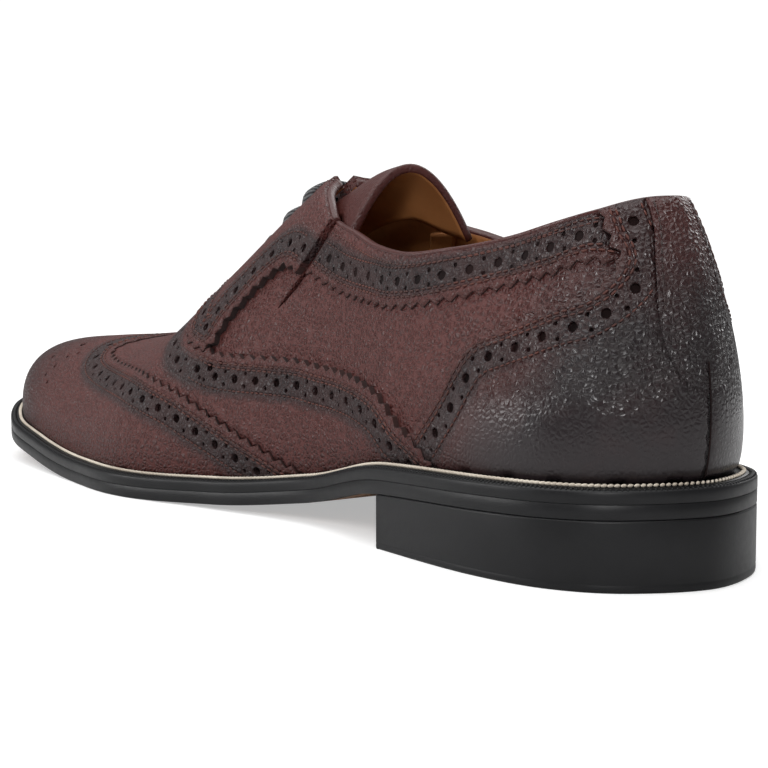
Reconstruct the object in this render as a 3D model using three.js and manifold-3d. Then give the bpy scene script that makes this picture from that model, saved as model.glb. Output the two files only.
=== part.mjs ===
// Wingtip brogue shoe for the right foot, with laces for show and an elastic slit beside each facing.
// Units are millimetres. +X points to the toe, +Y to the medial side and +Z up.
// Shares are fractions of the sole's length, counted from the back of the heel.
import * as THREE from 'three';
import { mergeVertices } from 'three/addons/utils/BufferGeometryUtils.js';
import Module from 'manifold-3d';

const wasm = await Module();
wasm.setup();

// Driving dimensions of the sole
const SOLE_LENGTH = 306;
const WELT_WIDTH = 5;
const WELT_THICKNESS = 3.1;
const OUTSOLE_THICKNESS = 3.4;
const OUTSOLE_SETBACK = 0.4;
const BREAST_SHARE = 0.255;
const HEEL_SETBACK = 0.6;
const CLEARANCE = 0.3;

// Driving dimensions of the upper
const OVERLAY_THICKNESS = 1.1;
const CAP_LIFT = 0.5;
const WALL = 1.8;
const INSOLE_RISE = 2.2;
const GORE_THICKNESS = 1.1;
const GORE_MARGIN = 4;
const TONGUE_THICKNESS = 2.2;
const THROAT_GAP = 5;
const BELLY_EXPONENT = 0.57;

// Driving dimensions of the welt's raised bead
const BEAD_INSET = 2.3;
const BEAD_WIDTH = 1.4;
const BEAD_RISE = 0.9;

// Driving dimensions of the laces
const LACE_WIDTH = 6;
const LACE_HEIGHT = 2.4;
const LACE_REACH = 9;
const LACE_ROWS = 6;
const LACE_FIRST_SHARE = 0.474;
const LACE_PITCH_SHARE = 0.0325;
const RUN_WIDTH = 3.6;
const RUN_HEIGHT = 1.4;

// Mesh fineness
const RIBS = 34;
const RINGS = 10;
const SLIVER = 0.01;

// Half widths of the welt's outline
const OUTLINE = [
  { share: 0.026, medial: 20.0, lateral: 20.0 },
  { share: 0.066, medial: 29.0, lateral: 29.0 },
  { share: 0.13, medial: 33.1, lateral: 33.5 },
  { share: 0.255, medial: 32.3, lateral: 35.0 },
  { share: 0.38, medial: 28.9, lateral: 37.0 },
  { share: 0.49, medial: 36.4, lateral: 43.5 },
  { share: 0.61, medial: 46.7, lateral: 51.5 },
  { share: 0.71, medial: 45.1, lateral: 53.0 },
  { share: 0.81, medial: 42.6, lateral: 49.0 },
  { share: 0.89, medial: 38.9, lateral: 41.5 },
  { share: 0.955, medial: 28.9, lateral: 29.0 },
  { share: 0.987, medial: 16.9, lateral: 16.0 },
];

// Height of the sole's underside: heel pitch, arch, flat tread and toe spring
const UNDERSIDE = [
  { share: 0, height: 15.3 },
  { share: 0.13, height: 14.4 },
  { share: 0.255, height: 12.8 },
  { share: 0.38, height: 5.3 },
  { share: 0.49, height: 1.2 },
  { share: 0.59, height: 0 },
  { share: 0.69, height: 0 },
  { share: 0.86, height: 4.8 },
  { share: 1, height: 12.1 },
];

// Ridge of the last, along the middle of the instep and the toe
const RIDGE = [
  { share: 0.17, height: 106 },
  { share: 0.28, height: 105 },
  { share: 0.35, height: 101 },
  { share: 0.42, height: 93 },
  { share: 0.49, height: 81.5 },
  { share: 0.56, height: 66.7 },
  { share: 0.63, height: 50.6 },
  { share: 0.69, height: 43.3 },
  { share: 0.74, height: 40.5 },
  { share: 0.8, height: 39.2 },
  { share: 0.85, height: 37.3 },
];

// Ribs rise from the feather edge at one share to the ridge at another
const RIB_TOPS = [
  { foot: 0, top: 0.17 },
  { foot: 0.13, top: 0.2 },
  { foot: 0.255, top: 0.28 },
  { foot: 0.38, top: 0.385 },
  { foot: 0.49, top: 0.485 },
  { foot: 0.61, top: 0.6 },
  { foot: 0.71, top: 0.69 },
  { foot: 0.81, top: 0.765 },
  { foot: 0.89, top: 0.815 },
  { foot: 0.955, top: 0.84 },
  { foot: 1, top: 0.85 },
];

// Fullness of each rib: exponents of its arc inward and upward, and its outward belly
const MEDIAL_FORM = [
  { foot: 0, inward: 0.55, upward: 1, belly: 3.5 },
  { foot: 0.13, inward: 1.5, upward: 1.4, belly: 2.2 },
  { foot: 0.255, inward: 0.85, upward: 1, belly: 2.4 },
  { foot: 0.38, inward: 1.03, upward: 1, belly: 1.9 },
  { foot: 0.49, inward: 1.16, upward: 1, belly: 1.9 },
  { foot: 0.61, inward: 1.27, upward: 0.95, belly: 1.4 },
  { foot: 0.71, inward: 0.98, upward: 0.9, belly: 1.6 },
  { foot: 0.81, inward: 0.79, upward: 0.8, belly: 1.2 },
  { foot: 0.89, inward: 0.62, upward: 0.72, belly: 0.5 },
  { foot: 1, inward: 0.62, upward: 0.7, belly: 0.3 },
];
const LATERAL_FORM = [
  { foot: 0, inward: 0.55, upward: 1, belly: 3.5 },
  { foot: 0.13, inward: 1.5, upward: 1.4, belly: 2.2 },
  { foot: 0.255, inward: 0.85, upward: 1, belly: 2.4 },
  { foot: 0.38, inward: 0.97, upward: 1, belly: 3 },
  { foot: 0.49, inward: 1.1, upward: 1, belly: 3 },
  { foot: 0.61, inward: 1.21, upward: 0.95, belly: 2.5 },
  { foot: 0.71, inward: 0.92, upward: 0.85, belly: 2 },
  { foot: 0.81, inward: 0.73, upward: 0.8, belly: 1.5 },
  { foot: 0.89, inward: 0.58, upward: 0.72, belly: 1 },
  { foot: 1, inward: 0.62, upward: 0.7, belly: 0.3 },
];

// Topline from the back, down the ankle and up the rear edge of the facings
const TOPLINE = [
  { share: -0.05, height: 82.6 },
  { share: 0.045, height: 81.8 },
  { share: 0.077, height: 78.8 },
  { share: 0.119, height: 75.6 },
  { share: 0.16, height: 72.8 },
  { share: 0.202, height: 70.4 },
  { share: 0.254, height: 68.8 },
  { share: 0.311, height: 70.4 },
  { share: 0.353, height: 73.3 },
  { share: 0.394, height: 76.4 },
  { share: 0.421, height: 81.8 },
  { share: 0.442, height: 85.5 },
  { share: 0.457, height: 89.5 },
  { share: 0.47, height: 125 },
];

// Elastic slit beside the facing, as the middle line and full width of the cut
const SLIT = [
  { share: 0.386, height: 80, width: 1.6 },
  { share: 0.394, height: 76.2, width: 1.6 },
  { share: 0.412, height: 67.4, width: 2 },
  { share: 0.431, height: 59.4, width: 2.2 },
  { share: 0.44, height: 56.1, width: 1.4 },
  { share: 0.447, height: 53.9, width: 0.4 },
];

// Panel edges are drawn on a slanted chart: slant is height less sideways distance, over root two
const WING_EDGE = [
  { share: 0.7, slant: 50 },
  { share: 0.7, slant: 30.4 },
  { share: 0.715, slant: 27.2 },
  { share: 0.735, slant: 23 },
  { share: 0.752, slant: 17.3 },
  { share: 0.759, slant: 12 },
  { share: 0.746, slant: 7.5 },
  { share: 0.719, slant: 4.5 },
  { share: 0.68, slant: 2.2 },
  { share: 0.631, slant: -0.5 },
  { share: 0.591, slant: -2.9 },
  { share: 0.544, slant: -4.5 },
  { share: 0.498, slant: -6.4 },
  { share: 0.463, slant: -7.7 },
  { share: 0.425, slant: -8.7 },
  { share: 0.385, slant: -11 },
  { share: 0.36, slant: -50 },
  { share: 1.05, slant: -50 },
  { share: 1.05, slant: 50 },
];
const VAMP_EDGE = [
  { share: 0.51, slant: 60 },
  { share: 0.51, slant: 7.5 },
  { share: 0.483, slant: 8.2 },
  { share: 0.443, slant: 9.8 },
  { share: 0.405, slant: 11.1 },
  { share: 0.376, slant: 10.8 },
  { share: 0.347, slant: 10.1 },
  { share: 0.314, slant: 8.3 },
  { share: 0.292, slant: 6.6 },
  { share: 0.27, slant: 4.4 },
  { share: 0.243, slant: 0 },
  { share: 0.223, slant: -2.1 },
  { share: 0.2, slant: -5.3 },
  { share: 0.18, slant: -9 },
  { share: 0.18, slant: -50 },
  { share: 1.05, slant: -50 },
  { share: 1.05, slant: 60 },
];
const EYESTAY_EDGE = [
  { share: 0.37, slant: 70 },
  { share: 0.385, slant: 46 },
  { share: 0.412, slant: 34.2 },
  { share: 0.425, slant: 30.2 },
  { share: 0.447, slant: 31.4 },
  { share: 0.458, slant: 30.3 },
  { share: 0.469, slant: 28.1 },
  { share: 0.482, slant: 25.1 },
  { share: 0.495, slant: 21 },
  { share: 0.506, slant: 17.5 },
  { share: 0.514, slant: 13.6 },
  { share: 0.518, slant: 9.9 },
  { share: 0.529, slant: 7.6 },
  { share: 0.547, slant: 8.2 },
  { share: 0.56, slant: 9.6 },
  { share: 0.569, slant: 12.9 },
  { share: 0.575, slant: 16.6 },
  { share: 0.582, slant: 22 },
  { share: 0.598, slant: 29 },
  { share: 0.622, slant: 33 },
  { share: 0.65, slant: 35 },
  { share: 0.655, slant: 70 },
];
const BAND_EDGE = [
  { share: 0.03, slant: 80 },
  { share: 0.03, slant: 39.5 },
  { share: 0.065, slant: 36.9 },
  { share: 0.102, slant: 32.1 },
  { share: 0.132, slant: 29.9 },
  { share: 0.157, slant: 27.9 },
  { share: 0.188, slant: 24.5 },
  { share: 0.211, slant: 22.5 },
  { share: 0.238, slant: 21 },
  { share: 0.271, slant: 20.9 },
  { share: 0.308, slant: 22.9 },
  { share: 0.364, slant: 26.4 },
  { share: 0.4165, slant: 30.4 },
  { share: 0.405, slant: 37 },
  { share: 0.386, slant: 46 },
  { share: 0.37, slant: 80 },
];
const COUNTER_EDGE = [
  { share: -0.1, slant: 75 },
  { share: -0.1, slant: -50 },
  { share: 0.3, slant: -50 },
  { share: 0.245, slant: -4.5 },
  { share: 0.23, slant: -1.9 },
  { share: 0.215, slant: 0.9 },
  { share: 0.204, slant: 3.4 },
  { share: 0.192, slant: 6.9 },
  { share: 0.183, slant: 10.9 },
  { share: 0.173, slant: 15 },
  { share: 0.16, slant: 18.3 },
  { share: 0.135, slant: 21.4 },
  { share: 0.113, slant: 23.7 },
  { share: 0.085, slant: 27.2 },
  { share: 0.068, slant: 29.7 },
  { share: 0.056, slant: 34.4 },
  { share: 0.053, slant: 39.4 },
  { share: 0.06, slant: 41 },
  { share: 0.067, slant: 43.5 },
  { share: 0.074, slant: 46.4 },
  { share: 0.08, slant: 75 },
];

// Back strap, seen from behind
const STRAP_EDGE = [
  { height: 90, half: 6.4 },
  { height: 76, half: 6.5 },
  { height: 70, half: 7.7 },
  { height: 62, half: 9 },
  { height: 54, half: 9.5 },
  { height: 47, half: 8 },
  { height: 43, half: 5 },
];

// Tongue, from its rolled rim down under the facings
const TONGUE = [
  { share: 0.357, top: 90.6, half: 12.2, drop: 14.5, skew: 4.5 },
  { share: 0.378, top: 89.6, half: 10.8, drop: 12.5, skew: 3.5 },
  { share: 0.4, top: 87.8, half: 9.2, drop: 9.5, skew: 2 },
  { share: 0.43, top: 84.5, half: 8.8, drop: 8.5, skew: 1 },
  { share: 0.46, top: 81, half: 9.5, drop: 8, skew: 0 },
  { share: 0.49, top: 75.3, half: 10.5, drop: 8, skew: 0 },
  { share: 0.525, top: 68, half: 11.5, drop: 7, skew: 0 },
  { share: 0.56, top: 60.8, half: 12.5, drop: 6, skew: 0 },
  { share: 0.6, top: 52.4, half: 12, drop: 4.5, skew: 0 },
];

const MEDIAL = { name: 'medial', sign: 1, form: MEDIAL_FORM };
const LATERAL = { name: 'lateral', sign: -1, form: LATERAL_FORM };

// Monotone cubic curve through one column of a table
function column(rows, keyName, valueName) {
  const keys = rows.map((row) => row[keyName]);
  const values = rows.map((row) => row[valueName]);
  const steps = keys.slice(1).map((key, i) => key - keys[i]);
  const slopes = steps.map((step, i) => (values[i + 1] - values[i]) / step);
  const tangents = keys.map((key, i) => {
    if (i === 0) return slopes[0];
    if (i === keys.length - 1) return slopes[i - 1];
    if (slopes[i - 1] * slopes[i] <= 0) return 0;
    const before = 2 * steps[i] + steps[i - 1];
    const after = steps[i] + 2 * steps[i - 1];
    return (before + after) / (before / slopes[i - 1] + after / slopes[i]);
  });
  return (key) => {
    const at = Math.min(Math.max(key, keys[0]), keys[keys.length - 1]);
    let i = 0;
    while (i < steps.length - 1 && at >= keys[i + 1]) i += 1;
    const t = (at - keys[i]) / steps[i];
    const blend = t * t * (3 - 2 * t);
    const leave = t * (1 - t) * (1 - t) * steps[i];
    const arrive = t * t * (t - 1) * steps[i];
    return values[i] * (1 - blend) + values[i + 1] * blend + tangents[i] * leave + tangents[i + 1] * arrive;
  };
}

const underside = column(UNDERSIDE, 'share', 'height');
const ridgeHeight = column(RIDGE, 'share', 'height');
const ribTop = column(RIB_TOPS, 'foot', 'top');
for (const side of [MEDIAL, LATERAL]) {
  side.inward = column(side.form, 'foot', 'inward');
  side.upward = column(side.form, 'foot', 'upward');
  side.belly = column(side.form, 'foot', 'belly');
}

function undersideAt(x) {
  return underside(x / SOLE_LENGTH);
}

function seatAt(x) {
  return undersideAt(x) + OUTSOLE_THICKNESS + WELT_THICKNESS;
}

// Closed outline of the welt in plan, as many short steps
function weltOutline() {
  const medial = OUTLINE.map((row) => new THREE.Vector3(row.share * SOLE_LENGTH, row.medial, 0));
  const lateral = OUTLINE.map((row) => new THREE.Vector3(row.share * SOLE_LENGTH, -row.lateral, 0));
  const heel = new THREE.Vector3(0, 0, 0);
  const toe = new THREE.Vector3(SOLE_LENGTH, 0, 0);
  const points = [heel, ...medial, toe, ...lateral.reverse()];
  return new THREE.CatmullRomCurve3(points, true, 'centripetal').getPoints(points.length * 60).slice(0, -1);
}

const WELT_LOOP = weltOutline();

// The outline moved inward by a distance
function insetLoop(distance) {
  const count = WELT_LOOP.length;
  return WELT_LOOP.map((point, i) => {
    const ahead = WELT_LOOP[(i + 1) % count];
    const behind = WELT_LOOP[(i + count - 1) % count];
    const travel = ahead.clone().sub(behind).normalize();
    return new THREE.Vector2(point.x + travel.y * distance, point.y - travel.x * distance);
  });
}

// One side of a loop from heel to toe, as a function of the share of its own length
function sideCurve(loop, side) {
  const toe = loop.reduce((best, point, i) => (point.x > loop[best].x ? i : best), 0);
  const rows = side.sign > 0 ? loop.slice(0, toe + 1) : [...loop.slice(toe), loop[0]].reverse();
  const lengths = [0];
  for (let i = 1; i < rows.length; i += 1) lengths.push(lengths[i - 1] + rows[i].distanceTo(rows[i - 1]));
  return (share) => {
    const wanted = share * lengths[lengths.length - 1];
    let i = 1;
    while (i < rows.length - 1 && lengths[i] < wanted) i += 1;
    return rows[i - 1].clone().lerp(rows[i], (wanted - lengths[i - 1]) / (lengths[i] - lengths[i - 1]));
  };
}

const FEATHER_LOOP = insetLoop(WELT_WIDTH);
for (const side of [MEDIAL, LATERAL]) side.feather = sideCurve(FEATHER_LOOP, side);

// A point of the last's surface: along is the share round the feather edge, rise runs up to the ridge.
// Both sides of a pair of ribs meet at one point of the ridge.
function lastPoint(side, along, rise) {
  const foot = side.feather(along);
  const share = foot.x / SOLE_LENGTH;
  const topShare = ribTop(MEDIAL.feather(along).x / SOLE_LENGTH);
  const base = seatAt(foot.x) + CLEARANCE;
  const angle = (rise * Math.PI) / 2;
  const inward = 1 - Math.max(Math.cos(angle), 0) ** side.inward(share);
  const upward = Math.sin(angle) ** side.upward(share);
  const toTop = new THREE.Vector2(topShare * SOLE_LENGTH - foot.x, -foot.y);
  const bulge = side.belly(share) * Math.sin(Math.PI * Math.min(upward, 1) ** BELLY_EXPONENT);
  const reach = inward - bulge / toTop.length();
  return new THREE.Vector3(
    foot.x + toTop.x * reach,
    foot.y + toTop.y * reach,
    base + (ridgeHeight(topShare) - base) * upward,
  );
}

// A list of triangles as one welded geometry
function weld(triangles) {
  const geometry = new THREE.BufferGeometry();
  const values = triangles.flat().flatMap((point) => [point.x, point.y, point.z]);
  geometry.setAttribute('position', new THREE.Float32BufferAttribute(values, 3));
  const merged = mergeVertices(geometry, 1e-3);
  const index = merged.index.array;
  const kept = [];
  for (let i = 0; i < index.length; i += 3) {
    const [a, b, c] = [index[i], index[i + 1], index[i + 2]];
    if (a !== b && b !== c && c !== a) kept.push(a, b, c);
  }
  merged.setIndex(kept);
  return merged;
}

// Triangles of a grid of points, rows first
function gridTriangles(grid, flip) {
  const triangles = [];
  for (let i = 0; i < grid.length - 1; i += 1) {
    for (let j = 0; j < grid[i].length - 1; j += 1) {
      const [a, b, c, d] = [grid[i][j], grid[i + 1][j], grid[i + 1][j + 1], grid[i][j + 1]];
      if (flip) triangles.push([a, c, b], [a, d, c]);
      else triangles.push([a, b, c], [a, c, d]);
    }
  }
  return triangles;
}

// One side's ribs, with the middle ribs and the ridge drawn to the middle plane
function ribGrid(side) {
  const grid = [];
  for (let i = 0; i <= RIBS; i += 1) {
    grid.push(Array.from({ length: RINGS + 1 }, (_, j) => lastPoint(side, i / RIBS, j / RINGS)));
    grid[i][RINGS].setY(0);
  }
  for (const rib of [grid[0], grid[RIBS]]) rib.forEach((point) => point.setY(0));
  return grid;
}

// The whole last as one welded open surface, with a normal at each point.
// The two sides share their middle ribs and their ridge.
function lastSurface() {
  const medial = ribGrid(MEDIAL);
  const lateral = ribGrid(LATERAL);
  lateral[0] = medial[0];
  lateral[RIBS] = medial[RIBS];
  for (let i = 0; i <= RIBS; i += 1) lateral[i][RINGS] = medial[i][RINGS];
  const surface = weld([...gridTriangles(medial, true), ...gridTriangles(lateral, false)]);
  surface.computeVertexNormals();
  const { position, normal } = surface.attributes;
  for (let i = 0; i < position.count; i += 1) {
    const atFeather = position.getZ(i) - seatAt(position.getX(i)) < CLEARANCE + 1e-2;
    const atMiddle = Math.abs(position.getY(i)) < 1e-4;
    const lean = new THREE.Vector3().fromBufferAttribute(normal, i);
    if (atFeather) lean.setZ(0);
    if (atMiddle) lean.setY(0);
    lean.normalize();
    normal.setXYZ(i, lean.x, lean.y, lean.z);
  }
  return surface;
}

// A closed solid between two offsets of an open welded surface
function shellBetween(surface, outer, inner) {
  const { position, normal } = surface.attributes;
  const move = (i, offset) => {
    const point = new THREE.Vector3().fromBufferAttribute(position, i);
    return point.addScaledVector(new THREE.Vector3().fromBufferAttribute(normal, i), offset);
  };
  const index = surface.index.array;
  const edges = new Map();
  const triangles = [];
  for (let i = 0; i < index.length; i += 3) {
    const corners = [index[i], index[i + 1], index[i + 2]];
    triangles.push(corners.map((corner) => move(corner, outer)));
    triangles.push([...corners].reverse().map((corner) => move(corner, inner)));
    corners.forEach((corner, k) => edges.set(`${corner}_${corners[(k + 1) % 3]}`, [corner, corners[(k + 1) % 3]]));
  }
  for (const [from, to] of edges.values()) {
    if (edges.has(`${to}_${from}`)) continue;
    triangles.push([move(to, outer), move(from, outer), move(from, inner)]);
    triangles.push([move(to, outer), move(from, inner), move(to, inner)]);
  }
  return weld(triangles);
}

function toSolid(geometry) {
  const welded = geometry.index ? geometry : mergeVertices(geometry, 1e-4);
  const vertProperties = new Float32Array(welded.attributes.position.array);
  const triVerts = new Uint32Array(welded.index.array);
  return new wasm.Manifold(new wasm.Mesh({ numProp: 3, vertProperties, triVerts }));
}

function toGeometry(solid) {
  const mesh = solid.getMesh();
  const geometry = new THREE.BufferGeometry();
  geometry.setAttribute('position', new THREE.BufferAttribute(new Float32Array(mesh.vertProperties), 3));
  geometry.setIndex(new THREE.BufferAttribute(new Uint32Array(mesh.triVerts), 1));
  geometry.computeVertexNormals();
  return geometry;
}

// A prism with a flat outline, stood up between two distances along a direction
function prism(outline, low, high, basis) {
  const shape = new THREE.Shape(outline.map(([u, v]) => new THREE.Vector2(u, v)));
  const geometry = new THREE.ExtrudeGeometry(shape, { depth: high - low, bevelEnabled: false, steps: 1 });
  geometry.deleteAttribute('uv');
  geometry.deleteAttribute('normal');
  geometry.translate(0, 0, low);
  geometry.applyMatrix4(basis);
  return toSolid(mergeVertices(geometry, 1e-4));
}

const DIAGONAL = Math.SQRT1_2;

// Outline axes of a chart: along the shoe, up the chart, and out of the chart
function slantBasis(side) {
  const along = new THREE.Vector3(side.sign, 0, 0);
  const up = new THREE.Vector3(0, -side.sign * DIAGONAL, DIAGONAL);
  return new THREE.Matrix4().makeBasis(along, up, along.clone().cross(up));
}

const SIDE_BASIS = new THREE.Matrix4().makeBasis(
  new THREE.Vector3(1, 0, 0),
  new THREE.Vector3(0, 0, 1),
  new THREE.Vector3(0, -1, 0),
);
const REAR_BASIS = new THREE.Matrix4().makeBasis(
  new THREE.Vector3(0, 1, 0),
  new THREE.Vector3(0, 0, 1),
  new THREE.Vector3(1, 0, 0),
);

// A chart outline grown by a distance, for the gap to a neighbour
function grown(outline, distance) {
  const area = THREE.ShapeUtils.area(outline.map(([u, v]) => new THREE.Vector2(u, v)));
  const turn = Math.sign(area);
  return outline.map(([u, v], i) => {
    const before = outline[(i + outline.length - 1) % outline.length];
    const after = outline[(i + 1) % outline.length];
    const travel = new THREE.Vector2(after[0] - before[0], after[1] - before[1]).normalize();
    return [u + travel.y * distance * turn, v - travel.x * distance * turn];
  });
}

// One half of space, with a little of the other half
function halfSpace(side, overlap) {
  const box = new THREE.BoxGeometry(500, 200, 400);
  box.translate(SOLE_LENGTH / 2, side.sign * (100 - overlap), 0);
  box.deleteAttribute('uv');
  box.deleteAttribute('normal');
  return toSolid(mergeVertices(box, 1e-4));
}

for (const side of [MEDIAL, LATERAL]) side.half = halfSpace(side, 0);

// Cutter for one panel on one side of the shoe
function panelCutter(rows, side, growth, overlap = 0) {
  const flat = rows.map((row) => [row.share * SOLE_LENGTH, row.slant]);
  const outline = grown(flat, growth).map(([u, v]) => [u * side.sign, v]);
  return prism(outline, -130, 130, slantBasis(side)).intersect(halfSpace(side, overlap));
}

// Cutter for a panel that crosses the ridge
function wholeCutter(rows, growth) {
  return panelCutter(rows, MEDIAL, growth, 0.5).add(panelCutter(rows, LATERAL, growth, 0.5));
}

// The panel itself, without the offcuts that a slit or a gap leaves and without needle triangles
function largestBody(solid) {
  const body = solid.decompose().reduce((best, other) => (other.volume() > best.volume() ? other : best));
  return body.simplify(SLIVER);
}

// Cutter for the elastic slit and for the band of elastic behind it
function slitOutline(margin) {
  const near = SLIT.map((row) => [row.share * SOLE_LENGTH - row.width / 2 - margin, row.height]);
  const far = SLIT.map((row) => [row.share * SOLE_LENGTH + row.width / 2 + margin, row.height]);
  return [...near, ...far.reverse()];
}

const surface = lastSurface();
const overlayBack = -OVERLAY_THICKNESS;
const wallFront = overlayBack - CLEARANCE;
const wallBack = wallFront - WALL;
const goreFront = wallBack - CLEARANCE;

const toplineOutline = TOPLINE.map((row) => [row.share * SOLE_LENGTH, row.height]);
toplineOutline.push([-0.05 * SOLE_LENGTH, 125]);
const toplineCutter = prism(toplineOutline, -120, 120, SIDE_BASIS);
const throatOutline = [
  [0.4 * SOLE_LENGTH, -THROAT_GAP / 2],
  [0.62 * SOLE_LENGTH, -THROAT_GAP / 2],
  [0.628 * SOLE_LENGTH, 0],
  [0.62 * SOLE_LENGTH, THROAT_GAP / 2],
  [0.4 * SOLE_LENGTH, THROAT_GAP / 2],
];
const throatCutter = prism(throatOutline, 30, 125, new THREE.Matrix4());
const slitCutter = prism(slitOutline(0), -120, 120, SIDE_BASIS);

// A layer of leather that follows the last, cut at the topline and the throat
function layer(outer, inner) {
  const whole = toSolid(shellBetween(surface, outer, inner));
  return whole.subtract(toplineCutter).subtract(throatCutter);
}

const overlayLayer = layer(0, overlayBack).subtract(slitCutter);
const capLayer = layer(CAP_LIFT, overlayBack);
const aroundWing = wholeCutter(WING_EDGE, CLEARANCE);
const aroundEyestays = wholeCutter(EYESTAY_EDGE, CLEARANCE);
const aroundVamp = wholeCutter(VAMP_EDGE, CLEARANCE);
const aroundCounters = wholeCutter(COUNTER_EDGE, CLEARANCE);

// Back strap or the gap round it, seen from behind
function strapCutter(growth) {
  const left = STRAP_EDGE.map((row) => [row.half + growth, row.height]);
  const right = STRAP_EDGE.map((row) => [-row.half - growth, row.height]);
  const foot = [[0, STRAP_EDGE[STRAP_EDGE.length - 1].height - 1.5 - growth]];
  return prism([...left, ...foot, ...right.reverse()], -20, 60, REAR_BASIS);
}

const seamOutline = [[-CLEARANCE / 2, 0], [CLEARANCE / 2, 0], [CLEARANCE / 2, 125], [-CLEARANCE / 2, 125]];
const backSeam = prism(seamOutline, -20, 60, REAR_BASIS);

function vampPanel() {
  const panel = overlayLayer.intersect(wholeCutter(VAMP_EDGE, 0));
  return largestBody(panel.subtract(aroundWing).subtract(aroundEyestays));
}

function eyestay(side) {
  return largestBody(overlayLayer.intersect(panelCutter(EYESTAY_EDGE, side, 0)));
}

function collarBand(side) {
  const panel = overlayLayer.intersect(panelCutter(BAND_EDGE, side, 0));
  return largestBody(panel.subtract(aroundCounters).subtract(aroundEyestays));
}

function counter(side) {
  const panel = overlayLayer.intersect(panelCutter(COUNTER_EDGE, side, 0)).subtract(aroundVamp);
  return largestBody(panel.subtract(strapCutter(CLEARANCE)).subtract(backSeam));
}

function gore(side) {
  const band = layer(goreFront, goreFront - GORE_THICKNESS).intersect(side.half);
  return largestBody(band.intersect(prism(slitOutline(GORE_MARGIN), -120, 120, SIDE_BASIS)));
}

// Sole pieces are plates between two heights, on one outline
function plate(distance, top, bottom, endShare) {
  const loop = insetLoop(distance);
  const curves = [MEDIAL, LATERAL].map((side) => sideCurve(loop, side));
  const pairs = [];
  for (let i = 0; i <= RIBS; i += 1) pairs.push(curves.map((curve) => curve(i / RIBS)));
  const end = endShare * SOLE_LENGTH;
  const kept = pairs.filter((pair) => Math.max(pair[0].x, pair[1].x) < end);
  if (endShare < 1) kept.push(curves.map((curve) => crossing(curve, end)));
  const at = (point, height) => new THREE.Vector3(point.x, point.y, height(point.x));
  const rows = kept.map(([medial, lateral]) => [at(medial, top), at(lateral, top)]);
  const feet = kept.map(([medial, lateral]) => [at(medial, bottom), at(lateral, bottom)]);
  const triangles = [...gridTriangles(rows, true), ...gridTriangles(feet, false)];
  const medialWall = rows.map((row, i) => [feet[i][0], row[0]]);
  const lateralWall = rows.map((row, i) => [feet[i][1], row[1]]);
  triangles.push(...gridTriangles(medialWall, true), ...gridTriangles(lateralWall, false));
  const last = rows.length - 1;
  triangles.push(...gridTriangles([[feet[last][0], rows[last][0]], [feet[last][1], rows[last][1]]], true));
  return weld(triangles);
}

// Where a side curve first reaches a distance from the heel
function crossing(curve, x) {
  let [low, high] = [0, 1];
  for (let i = 0; i < 40; i += 1) {
    const middle = (low + high) / 2;
    if (curve(middle).x < x) low = middle;
    else high = middle;
  }
  return curve(low).setX(x);
}

// The welt is a ring with a raised bead, swept round the outline
function weltRing() {
  const inner = WELT_WIDTH - wallBack + CLEARANCE;
  const low = -WELT_THICKNESS + CLEARANCE;
  const profile = [
    { inset: 0, rise: low },
    { inset: 0, rise: 0 },
    { inset: BEAD_INSET, rise: 0 },
    { inset: BEAD_INSET + 0.2, rise: BEAD_RISE },
    { inset: BEAD_INSET + BEAD_WIDTH - 0.2, rise: BEAD_RISE },
    { inset: BEAD_INSET + BEAD_WIDTH, rise: 0 },
    { inset: inner, rise: 0 },
    { inset: inner, rise: low },
  ];
  const loops = profile.map(({ inset, rise }) => {
    const loop = insetLoop(inset);
    const stations = [];
    for (let i = 0; i < RIBS; i += 1) stations.push(sideCurve(loop, MEDIAL)(i / RIBS));
    for (let i = RIBS; i > 0; i -= 1) stations.push(sideCurve(loop, LATERAL)(i / RIBS));
    return stations.map((point) => new THREE.Vector3(point.x, point.y, seatAt(point.x) + rise));
  });
  const grid = [...loops, loops[0]].map((loop) => [...loop, loop[0]]);
  return weld(gridTriangles(grid, false));
}

function tonguePoint(row, across) {
  const y = row.half * across;
  return new THREE.Vector3(row.share * SOLE_LENGTH + row.skew * across, y, row.top - row.drop * across * across);
}

function tongueSheet() {
  const steps = 10;
  const grid = TONGUE.map((row) => (
    Array.from({ length: steps + 1 }, (_, j) => tonguePoint(row, (2 * j) / steps - 1))
  ));
  const sheet = weld(gridTriangles(grid, false));
  sheet.computeVertexNormals();
  return sheet;
}

// Height of the last's surface over a point of the instep, found on its own ribs
function instepHeight(x, y) {
  const side = y >= 0 ? MEDIAL : LATERAL;
  let along = x / SOLE_LENGTH;
  let rise = 0.9;
  for (let i = 0; i < 60; i += 1) {
    const point = lastPoint(side, along, rise);
    along += (x - point.x) / SOLE_LENGTH;
    rise += (Math.abs(point.y) - Math.abs(y)) / 90;
    along = Math.min(Math.max(along, 0), 1);
    rise = Math.min(Math.max(rise, 0), 1);
  }
  return lastPoint(side, along, rise).z;
}

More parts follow.
